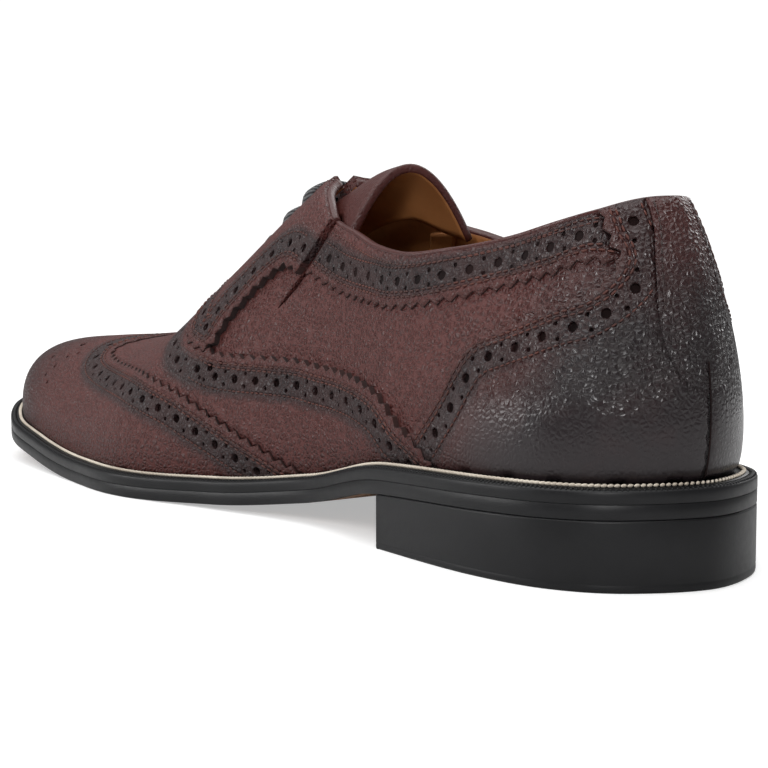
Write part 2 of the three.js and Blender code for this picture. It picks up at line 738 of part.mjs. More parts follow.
// A flat lace laid over the instep between two points of its plan
function laceRun(from, to, width, height, lift) {
  const steps = 8;
  const corners = 6;
  const travel = new THREE.Vector2(to.x - from.x, to.y - from.y).normalize();
  const rings = [];
  for (let i = 0; i <= steps; i += 1) {
    const centre = from.clone().lerp(to, i / steps);
    const z = instepHeight(centre.x, centre.y) + lift;
    const fall = (instepHeight(centre.x + 1, centre.y) - instepHeight(centre.x - 1, centre.y)) / 2;
    const slope = new THREE.Vector3(1, 0, fall).normalize();
    const up = new THREE.Vector3(-slope.z, 0, slope.x);
    const flat = slope.clone().multiplyScalar(Math.abs(travel.y));
    const ring = [];
    for (let k = 0; k < corners; k += 1) {
      const angle = (k / corners) * Math.PI * 2;
      const point = new THREE.Vector3(centre.x, centre.y, z + height / 2);
      point.addScaledVector(flat, (Math.cos(angle) * width) / 2);
      point.addScaledVector(up, (Math.sin(angle) * height) / 2);
      ring.push(point);
    }
    rings.push(ring);
  }
  const triangles = gridTriangles(rings.map((ring) => [...ring, ring[0]]), travel.y < 0);
  for (let k = 1; k < corners - 1; k += 1) {
    const [first, last] = [rings[0], rings[steps]];
    triangles.push([first[0], first[k], first[k + 1]], [last[0], last[k + 1], last[k]]);
  }
  return toSolid(weld(triangles));
}

function laces() {
  const lift = CAP_LIFT + 0.1;
  let joined = null;
  for (let i = 0; i < LACE_ROWS; i += 1) {
    const x = (LACE_FIRST_SHARE + i * LACE_PITCH_SHARE) * SOLE_LENGTH;
    const next = x + LACE_PITCH_SHARE * SOLE_LENGTH;
    const start = new THREE.Vector2(x, -LACE_REACH);
    const bar = laceRun(start, new THREE.Vector2(x, LACE_REACH), LACE_WIDTH, LACE_HEIGHT, lift);
    joined = joined ? joined.add(bar) : bar;
    if (i === LACE_ROWS - 1) continue;
    const from = new THREE.Vector2(next, -LACE_REACH + 1);
    joined = joined.add(laceRun(from, new THREE.Vector2(x, LACE_REACH - 1), RUN_WIDTH, RUN_HEIGHT, lift));
  }
  return joined;
}

const LEATHER = { color: 0x5f3734, roughness: 0.5, metalness: 0 };
const DARK_LEATHER = { color: 0x3a3236, roughness: 0.45, metalness: 0 };
const SOLE_BLACK = { color: 0x2b2b2e, roughness: 0.45, metalness: 0 };
const SOCK = { color: 0xb8834f, roughness: 0.7, metalness: 0 };
const ELASTIC = { color: 0x1d1718, roughness: 0.9, metalness: 0 };
const LACE = { color: 0x3d3d40, roughness: 0.8, metalness: 0 };

const shoe = new THREE.Group();
shoe.name = 'brogue_shoe';

function addPiece(name, geometry, finish) {
  const mesh = new THREE.Mesh(geometry, new THREE.MeshStandardMaterial(finish));
  mesh.name = name;
  shoe.add(mesh);
}

const outsoleTop = (x) => undersideAt(x) + OUTSOLE_THICKNESS;
const heelTop = (x) => undersideAt(x) - CLEARANCE;
const insoleLow = (x) => outsoleTop(x) + CLEARANCE;
const insoleTop = (x) => seatAt(x) + INSOLE_RISE;
const insoleInset = WELT_WIDTH - wallBack + 2.5 * CLEARANCE;

addPiece('outsole', plate(OUTSOLE_SETBACK, outsoleTop, undersideAt, 1), SOLE_BLACK);
addPiece('heel_stack', plate(HEEL_SETBACK, heelTop, () => 0, BREAST_SHARE), SOLE_BLACK);
addPiece('welt', weltRing(), SOLE_BLACK);
addPiece('insole', plate(insoleInset, insoleTop, insoleLow, 1), SOCK);
addPiece('upper', toGeometry(largestBody(layer(wallFront, wallBack).subtract(slitCutter))), LEATHER);
addPiece('toe_cap', toGeometry(largestBody(capLayer.intersect(wholeCutter(WING_EDGE, 0)))), LEATHER);
addPiece('vamp_panel', toGeometry(vampPanel()), LEATHER);
for (const side of [MEDIAL, LATERAL]) {
  addPiece(`eyestay_${side.name}`, toGeometry(eyestay(side)), LEATHER);
  addPiece(`collar_band_${side.name}`, toGeometry(collarBand(side)), DARK_LEATHER);
  addPiece(`counter_${side.name}`, toGeometry(counter(side)), LEATHER);
  addPiece(`gore_${side.name}`, toGeometry(gore(side)), ELASTIC);
}
addPiece('back_strap', toGeometry(largestBody(overlayLayer.intersect(strapCutter(0)))), LEATHER);
addPiece('tongue', shellBetween(tongueSheet(), 0, -TONGUE_THICKNESS), LEATHER);
addPiece('laces', toGeometry(laces()), LACE);

// The row's origin is under the middle of the shoe's box
const box = new THREE.Box3().setFromObject(shoe);
const middle = box.getCenter(new THREE.Vector3());
for (const mesh of shoe.children) {
  mesh.geometry.translate(-middle.x, -middle.y, -box.min.z);
  mesh.geometry.computeVertexNormals();
}

export default shoe;
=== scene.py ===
"""Looks of a wingtip brogue shoe: leather panels, holes, stitching, welt bead, sole and laces."""
import logging
import math
from collections.abc import Callable, Sequence
from dataclasses import dataclass, field
from enum import Enum

import bpy
import numpy as np
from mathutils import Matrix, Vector
from mathutils.bvhtree import BVHTree
from mathutils.geometry import delaunay_2d_cdt
from mathutils.kdtree import KDTree


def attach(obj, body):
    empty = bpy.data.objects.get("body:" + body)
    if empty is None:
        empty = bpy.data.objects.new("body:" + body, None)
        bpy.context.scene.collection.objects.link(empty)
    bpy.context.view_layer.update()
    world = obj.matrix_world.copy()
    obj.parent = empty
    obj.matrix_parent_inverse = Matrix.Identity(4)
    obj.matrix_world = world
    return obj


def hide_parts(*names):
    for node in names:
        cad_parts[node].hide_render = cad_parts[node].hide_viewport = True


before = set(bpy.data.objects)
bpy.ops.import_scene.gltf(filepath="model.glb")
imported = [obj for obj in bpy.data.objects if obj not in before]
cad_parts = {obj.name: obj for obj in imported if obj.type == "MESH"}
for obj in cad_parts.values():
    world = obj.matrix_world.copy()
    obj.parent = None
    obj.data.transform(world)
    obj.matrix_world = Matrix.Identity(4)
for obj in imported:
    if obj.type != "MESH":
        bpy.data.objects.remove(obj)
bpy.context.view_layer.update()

log = logging.getLogger("brogue")

Array = np.ndarray
Table = dict[str, Array]

MM = 0.001
FAR = 30.0  # distance kept at places with no punched edge near


class Side(Enum):
    """Side of the shoe, with the sign of its sideways axis."""

    MEDIAL = 1
    LATERAL = -1


class Chart(Enum):
    """Direction from which a flat outline is laid on the shoe."""

    SLANT = "slant"
    PROFILE = "profile"
    PLAN = "plan"
    REAR = "rear"


def table(names: str, *rows: Sequence[float]) -> Table:
    """Put rows of numbers under named columns.

    Args:
        names: Column names, with a space between.
        rows: One sequence of numbers for each row.

    Returns:
        The columns by name.
    """
    return dict(zip(names.split(), np.array(rows, float).T))


def monotone(rows: Table, key: str, value: str) -> Callable[[Array], Array]:
    """Draw a smooth curve without overshoot through one column of a table.

    Args:
        rows: The table.
        key: Column that the curve runs along.
        value: Column that the curve gives.

    Returns:
        A function of the key column.
    """
    keys, values = rows[key], rows[value]
    steps = np.diff(keys)
    slopes = np.diff(values) / steps
    tangents = np.zeros_like(values)
    tangents[0], tangents[-1] = slopes[0], slopes[-1]
    for i in range(1, len(keys) - 1):
        if slopes[i - 1] * slopes[i] > 0:
            before = 2 * steps[i] + steps[i - 1]
            after = steps[i] + 2 * steps[i - 1]
            tangents[i] = (before + after) / (before / slopes[i - 1] + after / slopes[i])

    def curve(at: Array) -> Array:
        """Value of the curve at a key, or at each of several."""
        at = np.clip(np.asarray(at, float), keys[0], keys[-1])
        i = np.clip(np.searchsorted(keys, at, side="right") - 1, 0, len(steps) - 1)
        t = (at - keys[i]) / steps[i]
        blend = t * t * (3 - 2 * t)
        leave = t * (1 - t) ** 2 * steps[i] * tangents[i]
        arrive = t * t * (t - 1) * steps[i] * tangents[i + 1]
        return values[i] * (1 - blend) + values[i + 1] * blend + leave + arrive

    return curve


def unit(vectors: Array) -> Array:
    """Vectors at length one."""
    lengths = np.linalg.norm(vectors, axis=-1, keepdims=True)
    return vectors / np.maximum(lengths, 1e-12)


def smoothstep(low: float, high: float, value: Array) -> Array:
    """Soft step from 0 at low to 1 at high."""
    t = np.clip((np.asarray(value, float) - low) / (high - low), 0, 1)
    return t * t * (3 - 2 * t)


def rounded(points: Array, step: float, closed: bool = False) -> Array:
    """Run a rounded line through the points of an outline.

    Args:
        points: Corners of the outline.
        step: Distance between the points of the result.
        closed: Whether the line returns to its start.

    Returns:
        Evenly spaced points on the line.
    """
    points = np.asarray(points, float)
    count = len(points)
    spans = count if closed else count - 1
    dense = []
    for i in range(spans):
        places = np.arange(i - 1, i + 3)
        near = points[places % count if closed else np.clip(places, 0, count - 1)]
        gaps = [max(np.linalg.norm(near[k + 1] - near[k]) ** 0.5, 1e-6) for k in range(3)]
        before = near[1] - near[0], near[2] - near[0], near[2] - near[1]
        after = near[3] - near[2], near[3] - near[1]
        leave = before[2] / gaps[1]
        arrive = before[2] / gaps[1]
        if closed or i > 0:
            leave = before[0] / gaps[0] - before[1] / (gaps[0] + gaps[1]) + before[2] / gaps[1]
        if closed or i < spans - 1:
            arrive = before[2] / gaps[1] - after[1] / (gaps[1] + gaps[2]) + after[0] / gaps[2]
        t = np.linspace(0, 1, 24, endpoint=False)[:, None]
        blend = t * t * (3 - 2 * t)
        curve = near[1] * (1 - blend) + near[2] * blend
        curve = curve + (t * (1 - t) ** 2 * leave + t * t * (t - 1) * arrive) * gaps[1]
        dense.append(curve)
    dense.append(points[:1] if closed else points[-1:])
    return respaced(np.vstack(dense), step)


def run_lengths(points: Array) -> Array:
    """Distance along a line to each of its points."""
    return np.concatenate([[0], np.cumsum(np.linalg.norm(np.diff(points, axis=0), axis=1))])


def respaced(points: Array, step: float) -> Array:
    """Points of a line, moved along it to an even spacing near a step."""
    lengths = run_lengths(points)
    count = max(int(round(lengths[-1] / step)), 1)
    wanted = np.linspace(0, lengths[-1], count + 1)
    return np.stack([np.interp(wanted, lengths, points[:, k]) for k in range(points.shape[1])], axis=1)


def inside(points: Array, polygon: Array) -> Array:
    """Say which flat points lie within a polygon.

    Args:
        points: Points, one in each row.
        polygon: Corners in order.

    Returns:
        A true or false for each point.
    """
    found = np.zeros(len(points), bool)
    low, high = polygon.min(axis=0), polygon.max(axis=0)
    near = np.flatnonzero(np.all((points >= low) & (points <= high), axis=1))
    x, y = points[near, 0], points[near, 1]
    crossings = np.zeros(len(near), bool)
    for (ax, ay), (bx, by) in zip(polygon, np.roll(polygon, -1, axis=0)):
        if ay == by:
            continue
        between = (ay > y) != (by > y)
        crossings ^= between & (x < (bx - ax) * (y - ay) / (by - ay) + ax)
    found[near] = crossings
    return found


def nearest_distance(points: Array, targets: Array) -> Array:
    """Distance from each point to the nearest target."""
    tree = KDTree(len(targets))
    for i, target in enumerate(targets):
        tree.insert(target, i)
    tree.balance()
    return np.array([tree.find(point)[2] for point in points])


def inset_loop(loop: Array, distance: float) -> Array:
    """A flat loop that turns clockwise, moved inward by a distance."""
    travel = unit(np.roll(loop, -1, axis=0) - np.roll(loop, 1, axis=0))
    return loop + distance * np.stack([travel[:, 1], -travel[:, 0]], axis=1)


def grid_quads(rows: int, columns: int) -> Array:
    """Quads between the points of a grid."""
    corner = (np.arange(rows - 1)[:, None] * columns + np.arange(columns - 1)).ravel()
    return np.stack([corner, corner + columns, corner + columns + 1, corner + 1], axis=1)


def slab_faces(rows: int, columns: int) -> tuple[Array, Array, Array]:
    """Front, edge and back quads of a slab whose back points follow its front points."""
    quads, size = grid_quads(rows, columns), rows * columns
    index = np.arange(size).reshape(rows, columns)
    rim = np.concatenate([index[:, 0], index[-1, 1:], index[-2::-1, -1], index[0, -2:0:-1]])
    after = np.roll(rim, -1)
    return quads, np.stack([rim + size, after + size, after, rim], axis=1), quads[:, ::-1] + size


@dataclass(frozen=True)
class Crease:
    """A soft trough or ridge across the leather, in millimetres of the shoe's own frame."""

    start: tuple[float, float, float]
    end: tuple[float, float, float]
    depth: float
    width: float

    def relief(self, points: Array) -> Array:
        """Height that the crease adds at each point."""
        start, end = np.array(self.start), np.array(self.end)
        run = end - start
        share = np.clip((points - start) @ run / (run @ run), 0, 1)
        distance = np.linalg.norm(points - start - share[..., None] * run, axis=-1)
        taper = smoothstep(0, 0.35, share) * smoothstep(0, 0.35, 1 - share)
        return -self.depth * taper * np.exp(-((distance / self.width) ** 2))


@dataclass
class LastForm:
    """Form of the last: welt outline, sole heights and the ribs of the upper, in millimetres."""

    length: float = 306.0
    middle_x: float = 153.0
    middle_y: float = -3.037
    welt_width: float = 5.0
    welt_thickness: float = 3.1
    outsole_thickness: float = 3.4
    clearance: float = 0.3
    belly_exponent: float = 0.57
    outline: Table = field(default_factory=lambda: table(
        "share medial lateral",
        (0.026, 20.0, 20.0),
        (0.066, 29.0, 29.0),
        (0.13, 33.1, 33.5),
        (0.255, 32.3, 35.0),
        (0.38, 28.9, 37.0),
        (0.49, 36.4, 43.5),
        (0.61, 46.7, 51.5),
        (0.71, 45.1, 53.0),
        (0.81, 42.6, 49.0),
        (0.89, 38.9, 41.5),
        (0.955, 28.9, 29.0),
        (0.987, 16.9, 16.0),
    ))
    underside_rows: Table = field(default_factory=lambda: table(
        "share height",
        (0, 15.3),
        (0.13, 14.4),
        (0.255, 12.8),
        (0.38, 5.3),
        (0.49, 1.2),
        (0.59, 0),
        (0.69, 0),
        (0.86, 4.8),
        (1, 12.1),
    ))
    ridge_rows: Table = field(default_factory=lambda: table(
        "share height",
        (0.17, 106),
        (0.28, 105),
        (0.35, 101),
        (0.42, 93),
        (0.49, 81.5),
        (0.56, 66.7),
        (0.63, 50.6),
        (0.69, 43.3),
        (0.74, 40.5),
        (0.8, 39.2),
        (0.85, 37.3),
    ))
    rib_tops: Table = field(default_factory=lambda: table(
        "foot top",
        (0, 0.17),
        (0.13, 0.2),
        (0.255, 0.28),
        (0.38, 0.385),
        (0.49, 0.485),
        (0.61, 0.6),
        (0.71, 0.69),
        (0.81, 0.765),
        (0.89, 0.815),
        (0.955, 0.84),
        (1, 0.85),
    ))
    medial_form: Table = field(default_factory=lambda: table(
        "foot inward upward belly",
        (0, 0.55, 1, 3.5),
        (0.13, 1.5, 1.4, 2.2),
        (0.255, 0.85, 1, 2.4),
        (0.38, 1.03, 1, 1.9),
        (0.49, 1.16, 1, 1.9),
        (0.61, 1.27, 0.95, 1.4),
        (0.71, 0.98, 0.9, 1.6),
        (0.81, 0.79, 0.8, 1.2),
        (0.89, 0.62, 0.72, 0.5),
        (1, 0.62, 0.7, 0.3),
    ))
    lateral_form: Table = field(default_factory=lambda: table(
        "foot inward upward belly",
        (0, 0.55, 1, 3.5),
        (0.13, 1.5, 1.4, 2.2),
        (0.255, 0.85, 1, 2.4),
        (0.38, 0.97, 1, 3),
        (0.49, 1.1, 1, 3),
        (0.61, 1.21, 0.95, 2.5),
        (0.71, 0.92, 0.85, 2),
        (0.81, 0.73, 0.8, 1.5),
        (0.89, 0.58, 0.72, 1),
        (1, 0.62, 0.7, 0.3),
    ))

    def __post_init__(self) -> None:
        """Draw the curves of the tables and the welt's outline."""
        self.underside_curve = monotone(self.underside_rows, "share", "height")
        self.ridge_curve = monotone(self.ridge_rows, "share", "height")
        self.rib_top_curve = monotone(self.rib_tops, "foot", "top")
        forms = {Side.MEDIAL: self.medial_form, Side.LATERAL: self.lateral_form}
        self.form_curves = {
            side: {name: monotone(form, "foot", name) for name in ("inward", "upward", "belly")}
            for side, form in forms.items()
        }
        share, medial, lateral = (self.outline[name] for name in ("share", "medial", "lateral"))
        corners = np.vstack([
            [[0, 0]],
            np.stack([share * self.length, medial], axis=1),
            [[self.length, 0]],
            np.stack([share * self.length, -lateral], axis=1)[::-1],
        ])
        self.welt_loop = rounded(corners, 0.5, closed=True)[:-1]
        self.feather = {side: self.side_of(self.inset(self.welt_width), side) for side in Side}

    def place(self, points: Array) -> Array:
        """Points moved from the heel's own corner to the frame's origin."""
        return points - np.array([self.middle_x, self.middle_y, 0])

    def underside(self, x: Array) -> Array:
        """Height of the sole's underside at a distance from the heel."""
        return self.underside_curve(np.asarray(x) / self.length)

    def seat(self, x: Array) -> Array:
        """Height of the welt's top at a distance from the heel."""
        return self.underside(x) + self.outsole_thickness + self.welt_thickness

    def inset(self, distance: float) -> Array:
        """The welt's outline, moved inward by a distance."""
        return inset_loop(self.welt_loop, distance)

    def side_of(self, loop: Array, side: Side) -> Array:
        """One side of a loop, from heel to toe."""
        toe = int(np.argmax(loop[:, 0]))
        if side is Side.MEDIAL:
            return loop[: toe + 1]
        return np.vstack([loop[toe:], loop[:1]])[::-1]

    def feather_point(self, side: Side, along: Array) -> Array:
        """Points of the feather edge at shares of its own length."""
        line = self.feather[side]
        lengths = run_lengths(line)
        return np.stack([np.interp(along, lengths / lengths[-1], line[:, k]) for k in (0, 1)], axis=-1)

    def rib_points(self, side: Side, along: Array, rise: Array) -> Array:
        """Points of the last's surface.

        Args:
            side: Side of the shoe.
            along: Shares round the feather edge, one for each rib.
            rise: Shares of the way up to the ridge.

        Returns:
            An array of ribs, rows and coordinates.
        """
        foot = self.feather_point(side, along)[:, None, :]
        share = foot[..., 0] / self.length
        top = self.rib_top_curve(self.feather_point(Side.MEDIAL, along)[:, None, 0] / self.length)
        base = self.seat(foot[..., 0]) + self.clearance
        curves = self.form_curves[side]
        angle = rise[None, :] * math.pi / 2
        inward = 1 - np.maximum(np.cos(angle), 0) ** curves["inward"](share)
        upward = np.sin(angle) ** curves["upward"](share)
        to_top = np.stack([top * self.length - foot[..., 0], -foot[..., 1]], axis=-1)
        full = np.sin(math.pi * np.minimum(upward, 1) ** self.belly_exponent)
        reach = inward - curves["belly"](share) * full / np.linalg.norm(to_top, axis=-1)
        flat = foot + to_top * reach[..., None]
        height = base + (self.ridge_curve(top) - base) * upward
        return np.concatenate([flat, height[..., None]], axis=-1)


@dataclass
class Skin:
    """The last's outer surface as one sheet, unrolled from heel to toe and from side to side."""

    last: LastForm
    creases: tuple[Crease, ...] = ()
    ribs: int = 361
    rows: int = 91
    unrolled_length: float = 330.0
    unrolled_girth: float = 88.0

    def __post_init__(self) -> None:
        """Lay out the grid of points and normals and the tree for laying outlines on it."""
        lateral, medial = self.side_grid(Side.LATERAL), self.side_grid(Side.MEDIAL)
        self.points = self.last.place(np.concatenate([lateral[:, :0:-1], medial], axis=1))
        self.normals = self.grid_normals()
        relief = sum((crease.relief(self.points) for crease in self.creases), np.zeros(self.points.shape[:2]))
        self.points = self.points + self.normals * relief[..., None]
        self.normals = self.grid_normals()
        columns = self.points.shape[1]
        self.columns = columns
        quads = grid_quads(self.ribs, columns)
        self.tree = BVHTree.FromPolygons(self.points.reshape(-1, 3).tolist(), quads.tolist())

    def side_grid(self, side: Side) -> Array:
        """Ribs of one side, from the ridge down to the feather edge at even spacing."""
        along = np.linspace(0, 1, self.ribs)
        rise = 1 - np.linspace(0, 1, 400) ** 1.5
        ribs = self.last.rib_points(side, along, rise)
        ribs[:, 0, 1] = 0
        ribs[[0, -1], :, 1] = 0
        grid = np.zeros((self.ribs, self.rows, 3))
        for i, rib in enumerate(ribs):
            lengths = run_lengths(rib)
            wanted = np.linspace(0, lengths[-1], self.rows)
            grid[i] = np.stack([np.interp(wanted, lengths, rib[:, k]) for k in range(3)], axis=1)
        return grid

    def grid_normals(self) -> Array:
        """Outward normal at each point of the grid."""
        normals = np.cross(np.gradient(self.points, axis=0), np.gradient(self.points, axis=1))
        normals[[0, -1], :, 1] = 0
        return unit(normals)

    def at(self, flat: Array) -> tuple[Array, Array]:
        """Find places of the surface.

        Args:
            flat: Unrolled coordinates, one pair in each row.

        Returns:
            Points and normals.
        """
        i = np.clip(flat[:, 0] / self.unrolled_length, 0, 1) * (self.ribs - 1)
        j = (np.clip(flat[:, 1] / self.unrolled_girth, -1, 1) + 1) / 2 * (self.columns - 1)
        i0 = np.minimum(i.astype(int), self.ribs - 2)
        j0 = np.minimum(j.astype(int), self.columns - 2)
        s, t = (i - i0)[:, None], (j - j0)[:, None]

        def mixed(grid: Array) -> Array:
            """Bilinear mix of a grid's four nearest values."""
            low = grid[i0, j0] * (1 - s) + grid[i0 + 1, j0] * s
            high = grid[i0, j0 + 1] * (1 - s) + grid[i0 + 1, j0 + 1] * s
            return low * (1 - t) + high * t

        return mixed(self.points), unit(mixed(self.normals))

    def unroll(self, points: Array, cells: Array) -> Array:
        """Unrolled coordinates of points that lie in known cells of the grid."""
        i, j = np.divmod(cells, self.columns - 1)
        corner = self.points[i, j]
        along, across = self.points[i + 1, j] - corner, self.points[i, j + 1] - corner
        offset = points - corner
        aa, ab, bb = (np.sum(p * q, axis=1) for p, q in ((along, along), (along, across), (across, across)))
        pa, pb = np.sum(offset * along, axis=1), np.sum(offset * across, axis=1)
        scale = np.maximum(aa * bb - ab * ab, 1e-12)
        s = np.clip((pa * bb - pb * ab) / scale, 0, 1)
        t = np.clip((pb * aa - pa * ab) / scale, 0, 1)
        share = (i + s) / (self.ribs - 1)
        turn = (j + t) / (self.columns - 1) * 2 - 1
        return np.stack([share * self.unrolled_length, turn * self.unrolled_girth], axis=1)

    def locate(self, points: Array) -> Array:
        """Unrolled coordinates of the places nearest to some points."""
        found = [self.tree.find_nearest(point) for point in points]
        places = np.array([hit[0] for hit in found])
        return self.unroll(places, np.array([hit[2] for hit in found]))

    def lay(self, chart: Chart, side: Side, outline: Array) -> Array:
        """Lay a flat outline on the surface.

        Args:
            chart: Direction that the outline is drawn from.
            side: Side of the shoe that it lies on.
            outline: Pairs of a share of the length, or a sideways distance, and a height or a slant.

        Returns:
            Unrolled coordinates of the points that meet the surface.
        """
        sign = float(side.value)
        diagonal = math.sqrt(0.5)
        along = outline[:, 0] * (1 if chart is Chart.REAR else self.last.length)
        other = outline[:, 1]
        zero = np.zeros_like(along)
        outward = {
            Chart.SLANT: (0, sign * diagonal, diagonal),
            Chart.PROFILE: (0, sign, 0),
            Chart.PLAN: (0, 0, 1),
            Chart.REAR: (-1, 0, 0),
        }[chart]
        starts = {
            Chart.SLANT: np.stack([along, -sign * diagonal * other, diagonal * other], axis=1),
            Chart.PROFILE: np.stack([along, zero, other], axis=1),
            Chart.PLAN: np.stack([along, other, zero], axis=1),
            Chart.REAR: np.stack([zero, along, other], axis=1),
        }[chart]
        reach = 40.0 if chart is Chart.REAR else 150.0
        starts = self.last.place(starts + reach * np.array(outward))
        hits = [self.tree.ray_cast(start, -Vector(outward)) for start in starts]
        kept = [hit for hit in hits if hit[0] is not None]
        return self.unroll(np.array([hit[0] for hit in kept]), np.array([hit[2] for hit in kept]))


@dataclass
class SurfaceLine:
    """A line on the leather, kept as evenly spaced points."""

    skin: Skin
    points: Array
    normals: Array

    @classmethod
    def from_flat(cls, skin: Skin, flat: Array, step: float) -> "SurfaceLine":
        """Make a line from unrolled coordinates, spaced at a step in millimetres."""
        points, _ = skin.at(flat)
        return cls.from_points(skin, respaced(points, step))

    @classmethod
    def from_points(cls, skin: Skin, points: Array) -> "SurfaceLine":
        """Make a line from points near the surface."""
        return cls(skin, *skin.at(skin.locate(points)))

    def sideways(self) -> Array:
        """Directions in the surface to the left of the line."""
        travel = unit(np.gradient(self.points, axis=0))
        return unit(np.cross(self.normals, travel))

    def moved(self, distance: float | Array) -> "SurfaceLine":
        """The line moved to its left, by one distance or by one for each point."""
        shift = np.broadcast_to(np.asarray(distance, float), len(self.points))
        return SurfaceLine.from_points(self.skin, self.points + self.sideways() * shift[:, None])

    def distance_along(self) -> Array:
        """Distance of each point from the line's start."""
        return run_lengths(self.points)

    def pinked(self, pitch: float, depth: float, inset: float) -> "SurfaceLine":
        """The line cut into teeth.

        Args:
            pitch: Length of a tooth.
            depth: Depth of a tooth.
            inset: Distance of the whole line to its left.

        Returns:
            The toothed line.
        """
        total = self.distance_along()[-1]
        teeth = max(int(round(total / pitch)), 1)
        steps = 3
        even = respaced(self.points, total / (teeth * 2 * steps))
        line = SurfaceLine.from_points(self.skin, even)
        phase = np.arange(len(even)) % (2 * steps) / steps
        wave = 1 - np.abs(phase - 1)
        return line.moved(inset + depth * (wave - 0.5))

    def flat(self) -> Array:
        """Unrolled coordinates of the line's points."""
        return self.skin.locate(self.points)


@dataclass
class Region:
    """An area of the unrolled skin that belongs to one piece."""

    name: str
    polygon: Array
    side: Side | None = None

    def holds(self, flat: Array) -> Array:
        """Which unrolled points lie in the area."""
        found = inside(flat, self.polygon)
        if self.side is not None:
            found &= np.sign(flat[:, 1]) == self.side.value
        return found


@dataclass(frozen=True)
class Punch:
    """A round hole punched through a panel."""

    centre: tuple[float, float, float]
    normal: tuple[float, float, float]
    radius: float
    rim: float

    def ring(self, skin: Skin, radius: float, corners: int) -> Array:
        """Unrolled coordinates of a ring round the hole."""
        normal = np.array(self.normal)
        first = unit(np.cross(normal, [0.3, 0.1, 1.0]))
        second = np.cross(normal, first)
        angle = np.arange(corners) / corners * 2 * math.pi
        circle = np.cos(angle)[:, None] * first + np.sin(angle)[:, None] * second
        return skin.locate(np.array(self.centre) + radius * circle)


@dataclass
class CutSheet:
    """The unrolled skin cut along lines into small triangles."""

    skin: Skin
    lines: list[Array]
    punches: list[Punch]
    spacing: float = 1.7
    keep_clear: float = 0.6
    border_step: float = 1.5

    def build(self) -> None:
        """Cut the sheet and keep the triangles inside it, each turned outward."""
        points: list[Array] = []
        edges: list[tuple[int, int]] = []
        count = 0
        closed = [self.border()]
        for punch in self.punches:
            corners = 16 if punch.radius > 0.8 else 10
            closed.append(punch.ring(self.skin, punch.radius, corners))
            points.append(punch.ring(self.skin, punch.radius + punch.rim, corners))
            count += corners
        for line, is_loop in [(loop, True) for loop in closed] + [(line, False) for line in self.lines]:
            points.append(line)
            last = len(line) if is_loop else len(line) - 1
            edges += [(count + k, count + (k + 1) % len(line)) for k in range(last)]
            count += len(line)
        fixed = np.vstack(points)
        grid = self.filling()
        lifted = np.hstack([fixed, np.zeros((len(fixed), 1))])
        clear = nearest_distance(np.hstack([grid, np.zeros((len(grid), 1))]), lifted) > self.keep_clear
        everything = np.vstack([fixed, grid[clear]])
        cut = delaunay_2d_cdt([Vector(p) for p in everything], edges, [], 0, 1e-5)
        flat = np.array([tuple(p) for p in cut[0]])
        faces = np.array(cut[2])
        turn = np.cross(flat[faces[:, 1]] - flat[faces[:, 0]], flat[faces[:, 2]] - flat[faces[:, 0]])
        faces[turn < 0] = faces[turn < 0][:, ::-1]
        faces = faces[np.abs(turn) > 1e-7]
        centres = flat[faces].mean(axis=1)
        length, girth = self.skin.unrolled_length, self.skin.unrolled_girth
        within = (centres[:, 0] > 0) & (centres[:, 0] < length) & (np.abs(centres[:, 1]) < girth)
        self.flat, self.faces, self.centres = flat, faces[within], centres[within]
        self.points, self.normals = self.skin.at(flat)
        self.join_middle_ribs()

    def border(self) -> Array:
        """Closed border of the unrolled skin."""
        length, girth = self.skin.unrolled_length, self.skin.unrolled_girth
        ends = np.linspace(-girth, girth, 2 * int(girth / self.border_step) + 1)
        sides = np.linspace(0, length, int(length / self.border_step) + 1)
        return np.vstack([
            np.stack([sides[:-1], np.full(len(sides) - 1, -girth)], axis=1),
            np.stack([np.full(len(ends) - 1, length), ends[:-1]], axis=1),
            np.stack([sides[:0:-1], np.full(len(sides) - 1, girth)], axis=1),
            np.stack([np.zeros(len(ends) - 1), ends[:0:-1]], axis=1),
        ])

    def filling(self) -> Array:
        """Evenly spread points between the lines."""
        length, girth = self.skin.unrolled_length, self.skin.unrolled_girth
        rows = np.arange(-girth + self.spacing, girth, self.spacing * 0.866)
        points = []
        for k, row in enumerate(rows):
            start = self.spacing * (1 if k % 2 else 0.5)
            xs = np.arange(start, length - 0.4 * self.spacing, self.spacing)
            points.append(np.stack([xs, np.full(len(xs), row)], axis=1))
        return np.vstack(points)

    def join_middle_ribs(self) -> None:
        """Join the two sides along the ribs at the heel and the toe."""
        ends = (self.flat[:, 0] < 1e-4) | (self.flat[:, 0] > self.skin.unrolled_length - 1e-4)
        medial = np.flatnonzero(ends & (self.flat[:, 1] > 0))
        tree = KDTree(len(medial))
        for i in medial:
            tree.insert(self.points[i], int(i))
        tree.balance()
        target = np.arange(len(self.flat))
        for i in np.flatnonzero(ends & (self.flat[:, 1] < 0)):
            _, match, distance = tree.find(self.points[i])
            if distance < 0.06:
                target[i] = match
        self.faces = target[self.faces]


@dataclass(frozen=True)
class Layer:
    """Heights of a sheet of leather over the last, and how far its edge is rounded."""

    top: float
    bottom: float
    rounding: float = 0.32
    round_width: float = 0.5
    flush_top: float | None = None


